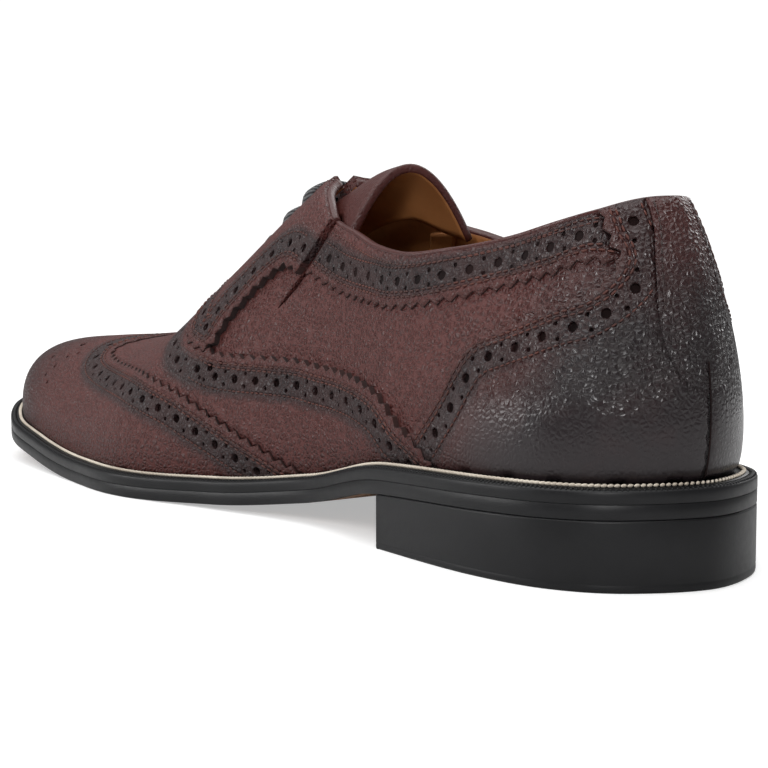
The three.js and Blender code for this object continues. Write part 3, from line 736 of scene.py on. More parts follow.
class MeshMaker:
    """Makes plain Blender meshes from arrays in millimetres."""

    @staticmethod
    def make(
        name: str,
        points: Array,
        faces: Sequence[Sequence[int]],
        materials: Sequence[bpy.types.Material],
        slots: Sequence[int] | Array | None = None,
        masks: dict[str, Array] | None = None,
        smooth: bool | Array = True,
    ) -> bpy.types.Object:
        """Make an object.

        Args:
            name: Name of the piece.
            points: Places in millimetres.
            faces: Corners of each face.
            materials: Materials in the order of their slots.
            slots: Slot of each face, or none where one material covers all.
            masks: Numbers at each point, by name.
            smooth: Whether shading runs smoothly over the faces, for all or for each.

        Returns:
            The object at the origin.
        """
        mesh = bpy.data.meshes.new(name)
        mesh.from_pydata((np.asarray(points) * MM).tolist(), [], [list(map(int, face)) for face in faces])
        for material in materials:
            mesh.materials.append(material)
        if slots is not None:
            mesh.polygons.foreach_set("material_index", np.asarray(slots, np.int32))
        mesh.polygons.foreach_set("use_smooth", np.array(np.broadcast_to(smooth, len(mesh.polygons)), bool))
        for mask, values in (masks or {}).items():
            layer = mesh.attributes.new(mask, "FLOAT", "POINT")
            layer.data.foreach_set("value", np.asarray(values, np.float32))
        mesh.update()
        piece = bpy.data.objects.new(name, mesh)
        bpy.context.scene.collection.objects.link(piece)
        return piece


def boundary_edges(faces: Array) -> Array:
    """Edges that only one triangle has, in that triangle's own direction."""
    edges = np.vstack([faces[:, [0, 1]], faces[:, [1, 2]], faces[:, [2, 0]]])
    size = int(edges.max()) + 1
    forward = edges[:, 0].astype(np.int64) * size + edges[:, 1]
    backward = edges[:, 1].astype(np.int64) * size + edges[:, 0]
    return edges[~np.isin(forward, backward)]


def tube(path: Array, normals: Array, wide: float, high: float, corners: int) -> tuple[Array, Array]:
    """Sweep an oval along a path.

    Args:
        path: Points of the middle line.
        normals: Direction of the oval's height at each point.
        wide: Width of the oval across the path.
        high: Height of the oval.
        corners: Corners of the oval.

    Returns:
        Points and quads, with the ends drawn to a point.
    """
    travel = unit(np.gradient(path, axis=0))
    side = unit(np.cross(normals, travel))
    up = np.cross(travel, side)
    angle = (np.arange(corners) / corners * 2 * math.pi)[None, :, None]
    oval = np.cos(angle) * side[:, None] * wide / 2 + np.sin(angle) * up[:, None] * high / 2
    first, last = (path[end, None].repeat(corners, 1) for end in (slice(0, 1), slice(-1, None)))
    rings = np.concatenate([first, path[:, None] + oval, last])
    quads = []
    for a in range(0, (len(rings) - 1) * corners, corners):
        b = a + corners
        quads += [(a + k, b + k, b + (k + 1) % corners, a + (k + 1) % corners) for k in range(corners)]
    return rings.reshape(-1, 3), np.array(quads)[:, ::-1]


@dataclass(frozen=True)
class OvalSizes:
    """Sizes of a row of small ovals, in millimetres and degrees."""

    pitch: float
    length: float
    width: float
    height: float
    slant_deg: float = 0.0


class Nodes:
    """Adds and links the nodes of one tree."""

    def __init__(self, tree: bpy.types.NodeTree) -> None:
        """Keep the tree."""
        self.tree = tree

    def add(self, kind: str, inputs: dict | None = None, **settings: object) -> bpy.types.Node:
        """Add a node.

        Args:
            kind: Blender's name for the node.
            inputs: Values or output sockets for its inputs, by name or number.
            settings: The node's own options.

        Returns:
            The node.
        """
        node = self.tree.nodes.new(kind)
        for name, value in settings.items():
            setattr(node, name, value)
        for key, value in (inputs or {}).items():
            socket = node.inputs[key]
            if isinstance(value, bpy.types.NodeSocket):
                self.tree.links.new(value, socket)
            else:
                socket.default_value = value
        return node

    def math(
        self, operation: str, first: object, second: object = 0.0, clamp: bool = False
    ) -> bpy.types.NodeSocket:
        """Result of a sum on two numbers."""
        inputs = {0: first, 1: second}
        return self.add("ShaderNodeMath", inputs, operation=operation, use_clamp=clamp).outputs[0]

    def ramp(
        self, value: object, low: float, high: float, start: float = 0.0, end: float = 1.0
    ) -> bpy.types.NodeSocket:
        """Soft step of a value between two limits, from a start to an end."""
        inputs = {"Value": value, "From Min": low, "From Max": high, "To Min": start, "To Max": end}
        return self.add("ShaderNodeMapRange", inputs, interpolation_type="SMOOTHSTEP").outputs["Result"]

    def mix(self, share: object, first: object, second: object) -> bpy.types.NodeSocket:
        """Mix of two colours."""
        return self.add("ShaderNodeMix", {0: share, 6: first, 7: second}, data_type="RGBA").outputs[2]

    def mask(self, name: str) -> bpy.types.NodeSocket:
        """A number kept at each point of the mesh."""
        return self.add("ShaderNodeAttribute", attribute_name=name, attribute_type="GEOMETRY").outputs["Fac"]


@dataclass
class BeadRow:
    """Geometry Nodes tree that sets small ovals along paths: stitches, rope turns and wheel marks."""

    tree: bpy.types.NodeTree = field(init=False)
    sockets: dict[str, str] = field(init=False, default_factory=dict)

    def __post_init__(self) -> None:
        """Build the tree once, with a named input for each size."""
        self.tree = bpy.data.node_groups.new("Row of small ovals", "GeometryNodeTree")
        face = self.tree.interface
        face.new_socket("Paths", in_out="INPUT", socket_type="NodeSocketGeometry")
        face.new_socket("Row", in_out="OUTPUT", socket_type="NodeSocketGeometry")
        for name, kind in (
            ("Pitch", "NodeSocketFloat"),
            ("Length", "NodeSocketFloat"),
            ("Width", "NodeSocketFloat"),
            ("Height", "NodeSocketFloat"),
            ("Slant", "NodeSocketFloat"),
            ("Material", "NodeSocketMaterial"),
        ):
            self.sockets[name] = face.new_socket(name, in_out="INPUT", socket_type=kind).identifier
        nodes = Nodes(self.tree)
        given = nodes.add("NodeGroupInput")
        curve = nodes.add("GeometryNodeMeshToCurve", {"Mesh": given.outputs["Paths"]})
        spaced = nodes.add(
            "GeometryNodeResampleCurve",
            {"Curve": curve.outputs["Curve"], "Length": given.outputs["Pitch"]},
            mode="LENGTH",
        )
        tangent = nodes.add("GeometryNodeInputTangent")
        outward = nodes.add("GeometryNodeInputNamedAttribute", {"Name": "outward"}, data_type="FLOAT_VECTOR")
        along = nodes.add(
            "FunctionNodeAlignRotationToVector",
            {"Vector": tangent.outputs["Tangent"]},
            axis="Z",
            pivot_axis="AUTO",
        )
        upright = nodes.add(
            "FunctionNodeAlignRotationToVector",
            {"Rotation": along.outputs["Rotation"], "Vector": outward.outputs["Attribute"]},
            axis="X",
            pivot_axis="Z",
        )
        lean = nodes.add("ShaderNodeCombineXYZ", {"X": given.outputs["Slant"]})
        lean_turn = nodes.add("FunctionNodeEulerToRotation", {"Euler": lean.outputs["Vector"]})
        turned = nodes.add(
            "FunctionNodeRotateRotation",
            {"Rotation": upright.outputs["Rotation"], "Rotate By": lean_turn.outputs["Rotation"]},
            rotation_space="LOCAL",
        )
        size = nodes.add(
            "ShaderNodeCombineXYZ",
            {"X": given.outputs["Height"], "Y": given.outputs["Width"], "Z": given.outputs["Length"]},
        )
        oval = nodes.add("GeometryNodeMeshUVSphere", {"Segments": 8, "Rings": 5, "Radius": 0.5})
        smooth = nodes.add("GeometryNodeSetShadeSmooth", {"Geometry": oval.outputs["Mesh"]})
        set_out = nodes.add(
            "GeometryNodeInstanceOnPoints",
            {
                "Points": spaced.outputs["Curve"],
                "Instance": smooth.outputs["Geometry"],
                "Rotation": turned.outputs["Rotation"],
                "Scale": size.outputs["Vector"],
            },
        )
        real = nodes.add("GeometryNodeRealizeInstances", {"Geometry": set_out.outputs["Instances"]})
        dressed = nodes.add(
            "GeometryNodeSetMaterial",
            {"Geometry": real.outputs["Geometry"], "Material": given.outputs["Material"]},
        )
        nodes.add("NodeGroupOutput", {"Row": dressed.outputs["Geometry"]})

    def lay(
        self,
        name: str,
        paths: Sequence[tuple[Array, Array]],
        sizes: OvalSizes,
        material: bpy.types.Material,
    ) -> bpy.types.Object:
        """Set ovals along paths and keep them as a plain mesh.

        Args:
            name: Name of the piece.
            paths: Points and outward directions of each path.
            sizes: Sizes of one oval and their pitch.
            material: Material of the ovals.

        Returns:
            The finished object.
        """
        points = np.vstack([path for path, _ in paths])
        outward = np.vstack([normals for _, normals in paths])
        edges, start = [], 0
        for path, _ in paths:
            edges += [(start + k, start + k + 1) for k in range(len(path) - 1)]
            start += len(path)
        mesh = bpy.data.meshes.new(name)
        mesh.from_pydata((points * MM).tolist(), edges, [])
        layer = mesh.attributes.new("outward", "FLOAT_VECTOR", "POINT")
        layer.data.foreach_set("vector", outward.astype(np.float32).ravel())
        piece = bpy.data.objects.new(name, mesh)
        bpy.context.scene.collection.objects.link(piece)
        modifier = piece.modifiers.new("Row", "NODES")
        modifier.node_group = self.tree
        values = {
            "Pitch": sizes.pitch * MM,
            "Length": sizes.length * MM,
            "Width": sizes.width * MM,
            "Height": sizes.height * MM,
            "Slant": math.radians(sizes.slant_deg),
        }
        for key, value in values.items():
            modifier[self.sockets[key]] = value
        modifier[self.sockets["Material"]] = material
        graph = bpy.context.evaluated_depsgraph_get()
        made = bpy.data.meshes.new_from_object(piece.evaluated_get(graph), depsgraph=graph)
        piece.modifiers.clear()
        piece.data = made
        made.name = name
        return piece


def srgb(red: int, green: int, blue: int) -> tuple[float, float, float, float]:
    """Linear colour from the 0 to 255 values of a screen."""
    shares = (red / 255, green / 255, blue / 255)
    return (*[c / 12.92 if c <= 0.04045 else ((c + 0.055) / 1.055) ** 2.4 for c in shares], 1.0)


class EffectGroups:
    """Shader effects that more than one material uses, each built once."""

    def __init__(self) -> None:
        """Build the groups."""
        self.pebble = self.pebble_grain()
        self.patina = self.soft_patina()
        self.groove = self.seam_grooves()

    @staticmethod
    def start(
        name: str, inputs: dict[str, tuple[str, object]], outputs: Sequence[str]
    ) -> tuple[Nodes, bpy.types.Node]:
        """Start a group with named sockets.

        Args:
            name: Name of the group.
            inputs: Socket kind and value of each input, by name.
            outputs: Names of the outputs, all numbers.

        Returns:
            The tree's node adder and its input node.
        """
        tree = bpy.data.node_groups.new(name, "ShaderNodeTree")
        for key, (kind, value) in inputs.items():
            socket = tree.interface.new_socket(key, in_out="INPUT", socket_type=kind)
            if value is not None:
                socket.default_value = value
        for key in outputs:
            tree.interface.new_socket(key, in_out="OUTPUT", socket_type="NodeSocketFloat")
        nodes = Nodes(tree)
        return nodes, nodes.add("NodeGroupInput")

    def pebble_grain(self) -> bpy.types.NodeTree:
        """Rounded leather pebbles with creases between them."""
        nodes, given = self.start(
            "Pebble grain",
            {"Vector": ("NodeSocketVector", None), "Scale": ("NodeSocketFloat", 900.0)},
            ("Height", "Crease"),
        )
        at = given.outputs["Vector"]
        wander = nodes.add("ShaderNodeTexNoise", {"Vector": at, "Scale": 420.0, "Detail": 2.0})
        shift = nodes.add(
            "ShaderNodeVectorMath", {0: wander.outputs["Color"], "Scale": 0.0011}, operation="SCALE"
        )
        place = nodes.add("ShaderNodeVectorMath", {0: at, 1: shift.outputs[0]}, operation="ADD")
        cells = nodes.add(
            "ShaderNodeTexVoronoi",
            {"Vector": place.outputs[0], "Scale": given.outputs["Scale"], "Randomness": 0.9},
            feature="DISTANCE_TO_EDGE",
        )
        edge = cells.outputs["Distance"]
        dome = nodes.ramp(edge, -0.08, 0.46)
        fine = nodes.add(
            "ShaderNodeTexNoise", {"Vector": at, "Scale": 3500.0, "Detail": 3.0, "Roughness": 0.6}
        )
        rough = nodes.math("MULTIPLY", fine.outputs["Fac"], 0.1)
        height = nodes.math("ADD", dome, rough)
        crease = nodes.ramp(edge, 0.03, 0.2, 1.0, 0.0)
        nodes.add("NodeGroupOutput", {"Height": height, "Crease": crease})
        return nodes.tree

    def soft_patina(self) -> bpy.types.NodeTree:
        """Slow changes of tone and gloss over a surface."""
        nodes, given = self.start(
            "Soft patina",
            {"Vector": ("NodeSocketVector", None), "Scale": ("NodeSocketFloat", 60.0)},
            ("Tone", "Gloss"),
        )
        at, scale = given.outputs["Vector"], given.outputs["Scale"]
        tone = nodes.add(
            "ShaderNodeTexNoise", {"Vector": at, "Scale": scale, "Detail": 4.0, "Roughness": 0.55}
        )
        fine_scale = nodes.math("MULTIPLY", scale, 9.0)
        gloss = nodes.add(
            "ShaderNodeTexNoise", {"Vector": at, "Scale": fine_scale, "Detail": 3.0, "Roughness": 0.6}
        )
        spread = nodes.ramp(tone.outputs["Fac"], 0.3, 0.7)
        nodes.add("NodeGroupOutput", {"Tone": spread, "Gloss": gloss.outputs["Fac"]})
        return nodes.tree

    def seam_grooves(self) -> bpy.types.NodeTree:
        """Leather drawn down by rows of stitches at three distances from an edge."""
        names = ("Distance", "First", "Second", "Third", "Width")
        sockets = {name: ("NodeSocketFloat", 0.0) for name in names}
        nodes, given = self.start("Seam grooves", sockets, ("Depth",))
        total: object = 0.0
        for name in ("First", "Second", "Third"):
            offset = nodes.math("SUBTRACT", given.outputs["Distance"], given.outputs[name])
            share = nodes.math("DIVIDE", nodes.math("ABSOLUTE", offset), given.outputs["Width"])
            pulse = nodes.math("SUBTRACT", 1.0, share, clamp=True)
            total = nodes.math("ADD", total, nodes.math("POWER", pulse, 1.5))
        nodes.add("NodeGroupOutput", {"Depth": total})
        return nodes.tree


@dataclass(frozen=True)
class PunchedSeam:
    """Distances of a panel edge's stitches and holes from the edge, in millimetres."""

    first_row: float = 2.3
    second_row: float = 3.5
    holes: float = 6.1
    third_row: float = 9.3
    tooth_pitch: float = 4.3
    tooth_depth: float = 1.5
    hole_pitch: float = 8.0
    big_radius: float = 1.12
    small_radius: float = 0.48
    small_shift: float = 1.75
    groove_width: float = 0.7


@dataclass(frozen=True)
class Leather:
    """Pebbled leather, dyed red brown and burnished nearly black in places, with painted light and shade in
    its grain creases and painted shade in its stitch grooves.
    """

    name: str
    groups: EffectGroups
    seam: PunchedSeam = PunchedSeam()
    red: tuple[int, int, int] = (70, 32, 29)
    crease_highlight: tuple[int, int, int] = (88, 44, 40)
    grey: tuple[int, int, int] = (36, 30, 32)
    crimson: tuple[int, int, int] = (50, 14, 12)
    burnished_crease_shade: tuple[int, int, int] = (20, 9, 9)
    edge_brown: tuple[int, int, int] = (58, 26, 22)
    groove_shade_brown: tuple[int, int, int] = (38, 18, 16)
    cell: float = 1.3
    bump: float = 1.0
    bump_depth: float = 0.00032
    roughness: float = 0.38
    specular: float = 0.4
    polish: float = 0.16

    def material(self) -> bpy.types.Material:
        """Build the material."""
        material, nodes, shader = new_material(self.name)
        place = nodes.add("ShaderNodeTexCoord").outputs["Object"]
        grain = nodes.add("ShaderNodeGroup", {}, node_tree=self.groups.pebble)
        nodes.tree.links.new(place, grain.inputs["Vector"])
        grain.inputs["Scale"].default_value = 1000.0 / self.cell
        patina = nodes.add("ShaderNodeGroup", {}, node_tree=self.groups.patina)
        nodes.tree.links.new(place, patina.inputs["Vector"])
        burnish, low, seam = nodes.mask("burnish"), nodes.mask("low"), nodes.mask("seam")
        tone = patina.outputs["Tone"]
        wander = nodes.math("MULTIPLY", nodes.math("SUBTRACT", tone, 0.5), 0.25)
        uneven = nodes.math("ADD", burnish, wander, clamp=True)
        uneven = nodes.math("MULTIPLY", uneven, nodes.ramp(burnish, 0.0, 0.3))
        darker = srgb(*[int(c * 0.8) for c in self.red])
        base = nodes.mix(nodes.math("MULTIPLY", tone, 0.4), srgb(*self.red), darker)
        base = nodes.mix(low, base, srgb(*self.crimson))
        base = nodes.mix(uneven, base, srgb(*self.grey))
        pebbled = nodes.math("SUBTRACT", 1.0, nodes.mask("smooth"), clamp=True)
        crease = nodes.math("MULTIPLY", grain.outputs["Crease"], pebbled)
        # Painted light in the grain's creases: lighter crease edges as a painted highlight on the red
        # leather, and dark creases as painted shade where it is burnished.
        painted_crease_light = nodes.mix(burnish, srgb(*self.crease_highlight), srgb(*self.burnished_crease_shade))
        base = nodes.mix(nodes.math("MULTIPLY", crease, 0.7), base, painted_crease_light)
        edge = nodes.ramp(seam, 0.0, 2.2, 0.55, 0.0)
        base = nodes.mix(edge, base, srgb(*self.edge_brown))
        groove = nodes.add("ShaderNodeGroup", {}, node_tree=self.groups.groove)
        nodes.tree.links.new(seam, groove.inputs["Distance"])
        for name, value in (
            ("First", self.seam.first_row),
            ("Second", self.seam.second_row),
            ("Third", self.seam.third_row),
            ("Width", self.seam.groove_width),
        ):
            groove.inputs[name].default_value = value
        # Painted shade: the leather darkens in the grooves of the stitch rows.
        painted_groove_shade = nodes.math("MULTIPLY", groove.outputs["Depth"], 0.28)
        base = nodes.mix(painted_groove_shade, base, srgb(*self.groove_shade_brown))
        gloss = nodes.math("MULTIPLY", nodes.math("SUBTRACT", patina.outputs["Gloss"], 0.5), 0.22)
        rough = nodes.math("ADD", nodes.math("ADD", gloss, self.roughness), nodes.math("MULTIPLY", low, 0.12))
        rough = nodes.math("SUBTRACT", rough, nodes.math("MULTIPLY", nodes.mask("polish"), self.polish))
        rough = nodes.math("ADD", rough, nodes.math("MULTIPLY", crease, 0.25), clamp=True)
        height = nodes.math("MULTIPLY", grain.outputs["Height"], pebbled)
        height = nodes.math("SUBTRACT", height, nodes.math("MULTIPLY", groove.outputs["Depth"], 1.1))
        bump = nodes.add(
            "ShaderNodeBump", {"Strength": self.bump, "Distance": self.bump_depth, "Height": height}
        )
        nodes.tree.links.new(base, shader.inputs["Base Color"])
        nodes.tree.links.new(rough, shader.inputs["Roughness"])
        nodes.tree.links.new(bump.outputs["Normal"], shader.inputs["Normal"])
        shader.inputs["Specular IOR Level"].default_value = self.specular
        return material


def new_material(name: str) -> tuple[bpy.types.Material, Nodes, bpy.types.Node]:
    """Start a material.

    Args:
        name: Name of the material.

    Returns:
        The material, its node adder and its main shader.
    """
    material = bpy.data.materials.new(name)
    material.use_nodes = True
    nodes = Nodes(material.node_tree)
    return material, nodes, material.node_tree.nodes["Principled BSDF"]


@dataclass(frozen=True)
class PlainFinish:
    """A material of one colour with a fine grain and slow changes of tone, and, where asked, painted shade
    below a height.
    """

    name: str
    groups: EffectGroups
    colour: tuple[int, int, int]
    shade: tuple[int, int, int]
    roughness: float
    grain_scale: float = 2500.0
    bump: float = 0.2
    bump_depth: float = 0.0001
    patina_scale: float = 60.0
    specular: float = 0.5
    painted_shade_below: float = 0.0
    painted_shade_depth: float = 0.045
    painted_shade_brown: tuple[int, int, int] = (48, 26, 15)

    def material(self) -> bpy.types.Material:
        """Build the material."""
        material, nodes, shader = new_material(self.name)
        place = nodes.add("ShaderNodeTexCoord").outputs["Object"]
        patina = nodes.add("ShaderNodeGroup", {}, node_tree=self.groups.patina)
        nodes.tree.links.new(place, patina.inputs["Vector"])
        patina.inputs["Scale"].default_value = self.patina_scale
        base = nodes.mix(patina.outputs["Tone"], srgb(*self.colour), srgb(*self.shade))
        # Painted shade: the colour darkens below a height, standing in for the shade deep inside the shoe.
        if self.painted_shade_below:
            rise = nodes.add("ShaderNodeSeparateXYZ", {"Vector": place}).outputs["Z"]
            interior_shade = nodes.ramp(rise, self.painted_shade_below - self.painted_shade_depth, self.painted_shade_below, 0.85, 0.0)
            base = nodes.mix(interior_shade, base, srgb(*self.painted_shade_brown))
        fine = nodes.add("ShaderNodeTexNoise", {"Vector": place, "Scale": self.grain_scale, "Detail": 3.0})
        bump = nodes.add(
            "ShaderNodeBump",
            {"Strength": self.bump, "Distance": self.bump_depth, "Height": fine.outputs["Fac"]},
        )
        gloss = nodes.math("MULTIPLY", nodes.math("SUBTRACT", patina.outputs["Gloss"], 0.5), 0.15)
        nodes.tree.links.new(base, shader.inputs["Base Color"])
        nodes.tree.links.new(nodes.math("ADD", gloss, self.roughness, clamp=True), shader.inputs["Roughness"])
        nodes.tree.links.new(bump.outputs["Normal"], shader.inputs["Normal"])
        shader.inputs["Specular IOR Level"].default_value = self.specular
        return material


@dataclass(frozen=True)
class Weave:
    """A braided or ribbed textile that follows the run of its piece."""

    name: str
    colour: tuple[int, int, int]
    shade: tuple[int, int, int]
    along_turns: float
    around_turns: float

    def material(self) -> bpy.types.Material:
        """Build the material."""
        material, nodes, shader = new_material(self.name)
        along = nodes.math("MULTIPLY", nodes.mask("along"), self.along_turns)
        around = nodes.math("MULTIPLY", nodes.mask("around"), self.around_turns)
        height = nodes.math("SINE", nodes.math("ADD", along, around))
        bump = nodes.add("ShaderNodeBump", {"Strength": 0.8, "Distance": 0.0003, "Height": height})
        # Painted shade: the colour darkens from the ridges into the troughs of the braid or ribs.
        base = nodes.mix(nodes.ramp(height, -1.0, 0.8), srgb(*self.shade), srgb(*self.colour))
        nodes.tree.links.new(base, shader.inputs["Base Color"])
        nodes.tree.links.new(bump.outputs["Normal"], shader.inputs["Normal"])
        shader.inputs["Roughness"].default_value = 0.7
        shader.inputs["Sheen Weight"].default_value = 0.2
        return material


@dataclass
class Finishes:
    """Every material of the shoe, built once."""

    seam: PunchedSeam
    groups: EffectGroups = field(default_factory=EffectGroups)

    def __post_init__(self) -> None:
        """Build the materials."""
        groups = self.groups
        self.leather = Leather("Burnished pebbled leather", groups, self.seam).material()
        plain = {
            # The raw edge's dark brown is partly the cut leather's own colour and partly painted shade,
            # darkened to the shadow in the pinked notches.
            "raw_edge": PlainFinish("Raw pinked edge", groups, (52, 24, 20), (28, 14, 13), 0.85),
            "thread": PlainFinish("Brown thread", groups, (88, 44, 34), (58, 30, 25), 0.7),
            "dark_thread": PlainFinish("Dark thread", groups, (52, 36, 34), (36, 26, 26), 0.6),
            # The lining gets painted shade below 70 mm, deep inside the shoe.
            "lining": PlainFinish(
                "Tan lining leather", groups, (186, 126, 76), (150, 96, 54), 0.5, 900.0, 0.25,
                patina_scale=35.0, painted_shade_below=0.07,
            ),
            # One near-black material for the painted shadow at the floors of the holes and for the dark seam
            # line at the heel.
            "hole_floor": PlainFinish("Hole floor", groups, (30, 14, 13), (18, 9, 9), 0.9, specular=0.2),
            "sole_black": PlainFinish(
                "Black sole edge", groups, (20, 20, 22), (14, 14, 16), 0.42, 2200.0, 0.12, specular=0.3,
            ),
            "sole_tan": PlainFinish("Tan sole leather", groups, (168, 132, 104), (140, 106, 82), 0.55),
            "cream": PlainFinish("Cream welt bead", groups, (226, 216, 200), (188, 176, 160), 0.6),
        }  # fmt: skip
        for name, finish in plain.items():
            setattr(self, name, finish.material())
        self.lace = Weave("Braided lace", (44, 44, 48), (14, 14, 16), 5200.0, 3.0).material()
        self.elastic = Weave("Ribbed elastic", (44, 40, 42), (12, 11, 12), 4200.0, 0.0).material()


def settle(piece: bpy.types.Object, slot: str, *nodes: str) -> bpy.types.Object:
    """Give a finished piece to the shoe.

    Args:
        piece: The finished object.
        slot: Not used.
        nodes: The solids that it stands for.

    Returns:
        The same object.
    """
    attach(piece, "root")
    if nodes:
        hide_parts(*nodes)
    log.info("%s: %d faces", piece.name, len(piece.data.polygons))
    return piece


Rows = tuple[tuple[float, ...], ...]


@dataclass
class Pattern:
    """Cutting pattern of the upper: every edge, slit and hole, laid out on the last."""

    skin: Skin
    seam: PunchedSeam
    topline: Table = field(default_factory=lambda: table(
        "share height",
        (-0.05, 82.6),
        (0.045, 81.8),
        (0.077, 78.8),
        (0.119, 75.6),
        (0.16, 72.8),
        (0.202, 70.4),
        (0.254, 68.8),
        (0.311, 70.4),
        (0.353, 73.3),
        (0.394, 76.4),
        (0.421, 81.8),
        (0.442, 85.5),
        (0.457, 89.5),
        (0.47, 125),
    ))
    slit: Table = field(default_factory=lambda: table(
        "share height width",
        (0.386, 80, 1.6),
        (0.394, 76.2, 1.6),
        (0.412, 67.4, 2),
        (0.431, 59.4, 2.2),
        (0.44, 56.1, 1.4),
        (0.447, 53.9, 0.4),
    ))
    wing_edge: Rows = (
        (0.7, 50), (0.7, 30.4), (0.715, 27.2), (0.735, 23), (0.752, 17.3), (0.759, 12), (0.746, 7.5),
        (0.719, 4.5), (0.68, 2.2), (0.631, -0.5), (0.591, -2.9), (0.544, -4.5), (0.498, -6.4),
        (0.463, -7.7), (0.425, -8.7), (0.385, -11), (0.36, -50),
    )  # fmt: skip
    vamp_edge: Rows = (
        (0.535, 8.6), (0.51, 7.5), (0.483, 8.2), (0.443, 9.8), (0.405, 11.1), (0.376, 10.8),
        (0.347, 10.1), (0.314, 8.3), (0.292, 6.6), (0.27, 4.4), (0.243, 0), (0.223, -2.1), (0.2, -5.3),
        (0.18, -9), (0.18, -50),
    )  # fmt: skip
    eyestay_edge: Rows = (
        (0.428, 30.3), (0.447, 31.4), (0.458, 30.3), (0.469, 28.1), (0.482, 25.1), (0.495, 21),
        (0.506, 17.5), (0.514, 13.6), (0.518, 9.9), (0.529, 7.6), (0.547, 8.2), (0.56, 9.6),
        (0.569, 12.9), (0.575, 16.6), (0.582, 22), (0.598, 29), (0.622, 33), (0.65, 35), (0.655, 70),
    )  # fmt: skip
    band_edge: Rows = (
        (0.43, 31), (0.4165, 30.4), (0.364, 26.4), (0.308, 22.9), (0.271, 20.9), (0.238, 21),
        (0.211, 22.5), (0.188, 24.5), (0.157, 27.9), (0.132, 29.9), (0.102, 32.1), (0.065, 36.9),
        (0.04, 38.5),
    )  # fmt: skip
    counter_edge: Rows = (
        (0.262, -16), (0.245, -4.5), (0.23, -1.9), (0.215, 0.9), (0.204, 3.4), (0.192, 6.9),
        (0.183, 10.9), (0.173, 15), (0.16, 18.3), (0.135, 21.4), (0.113, 23.7), (0.085, 27.2),
        (0.068, 29.7), (0.056, 34.4), (0.053, 39.4), (0.06, 41), (0.067, 43.5), (0.074, 46.4), (0.08, 75),
    )  # fmt: skip
    strap_edge: Rows = (
        (90, 6.4), (76, 6.5), (70, 7.7), (62, 9), (54, 9.5), (47, 8), (43, 5), (41.5, 0.2),
    )  # fmt: skip
    throat_half: float = 2.5
    throat_share: tuple[float, float, float] = (0.42, 0.62, 0.628)
    medallion_share: float = 0.862
    medallion_rings: Rows = (
        (0, 1, 0.0, 1.3), (4.2, 6, 0.0, 0.5), (8.6, 8, 0.5, 1.12), (8.6, 8, 0.0, 0.5), (12.4, 8, 0.5, 0.5),
    )  # fmt: skip
    medallion_curl: Rows = (
        (0.826, 9.6, 1.12), (0.875, 11.4, 0.8), (0.81, 5.3, 0.6), (0.822, 3.2, 0.6), (0.852, 2.3, 0.8),
        (0.829, -1.2, 0.6), (0.837, -4.3, 0.6), (0.824, -6.7, 0.6), (0.85, 8.0, 0.55), (0.866, 5.5, 0.55),
    )  # fmt: skip

    hole_rim: float = 0.35
    hole_margin: float = 1.3
    hole_gap: float = 0.8
    run_over_reach: float = 7.0
    run_over: dict[tuple[str, Side | None], tuple[bool, bool]] = field(default_factory=lambda: {
        ("toe_cap", None): (True, True),
        ("vamp_panel", Side.MEDIAL): (True, False),
        ("vamp_panel", Side.LATERAL): (False, True),
        ("counter", Side.LATERAL): (True, False),
        ("counter", Side.MEDIAL): (False, True),
    })

    def __post_init__(self) -> None:
        """Lay out the lines, the areas of the pieces and the punches."""
        self.height_of_topline = monotone(self.topline, "share", "height")
        self.edges = self.draw_edges()
        self.topline_flat = self.draw_topline()
        self.slit_flat = {side: self.draw_slit(side) for side in Side}
        self.throat_flat = self.draw_throat()
        self.pinked = {
            key: line.pinked(self.seam.tooth_pitch, self.seam.tooth_depth, 0.0)
            for key, line in self.edges.items()
            if key[0] != "back_strap"
        }
        self.regions = self.draw_regions()
        self.punches = self.place_punches()

    def laid(self, chart: Chart, side: Side, rows: Rows | Array) -> Array:
        """Lay rows of an outline on one side, rounded between them."""
        scale = np.array([1.0 if chart is Chart.REAR else self.skin.last.length, 1.0])
        flat = self.skin.lay(chart, side, rounded(np.array(rows, float) * scale, 1.0) / scale)
        return flat[flat[:, 1] * side.value > 0]

    def draw_edges(self) -> dict[tuple[str, Side | None], SurfaceLine]:
        """Edges of the overlaid pieces, each with its own piece to the left."""
        medial, lateral = Side.MEDIAL, Side.LATERAL
        flats: dict[tuple[str, Side | None], Array] = {}
        wing = {side: self.laid(Chart.SLANT, side, self.wing_edge) for side in Side}
        flats["toe_cap", None] = over_ridge(wing[medial][::-1], wing[lateral])
        stay = {side: self.laid(Chart.SLANT, side, self.eyestay_edge) for side in Side}
        flats["eyestay", None] = over_ridge(stay[lateral], stay[medial][::-1])
        for name, rows in (("vamp_panel", self.vamp_edge), ("collar_band", self.band_edge)):
            flats[name, medial] = self.laid(Chart.SLANT, medial, rows)
            flats[name, lateral] = self.laid(Chart.SLANT, lateral, rows)
        flats["vamp_panel", medial] = flats["vamp_panel", medial][::-1]
        flats["collar_band", lateral] = flats["collar_band", lateral][::-1]
        flats["counter", lateral] = self.laid(Chart.SLANT, lateral, self.counter_edge)
        flats["counter", medial] = self.laid(Chart.SLANT, medial, self.counter_edge)[::-1]
        for side in Side:
            rear = [(side.value * half, height) for height, half in self.strap_edge]
            strap = self.laid(Chart.REAR, side, rear)
            flats["back_strap", side] = strap if side is medial else strap[::-1]
        return {key: SurfaceLine.from_flat(self.skin, flat, 1.0) for key, flat in flats.items()}

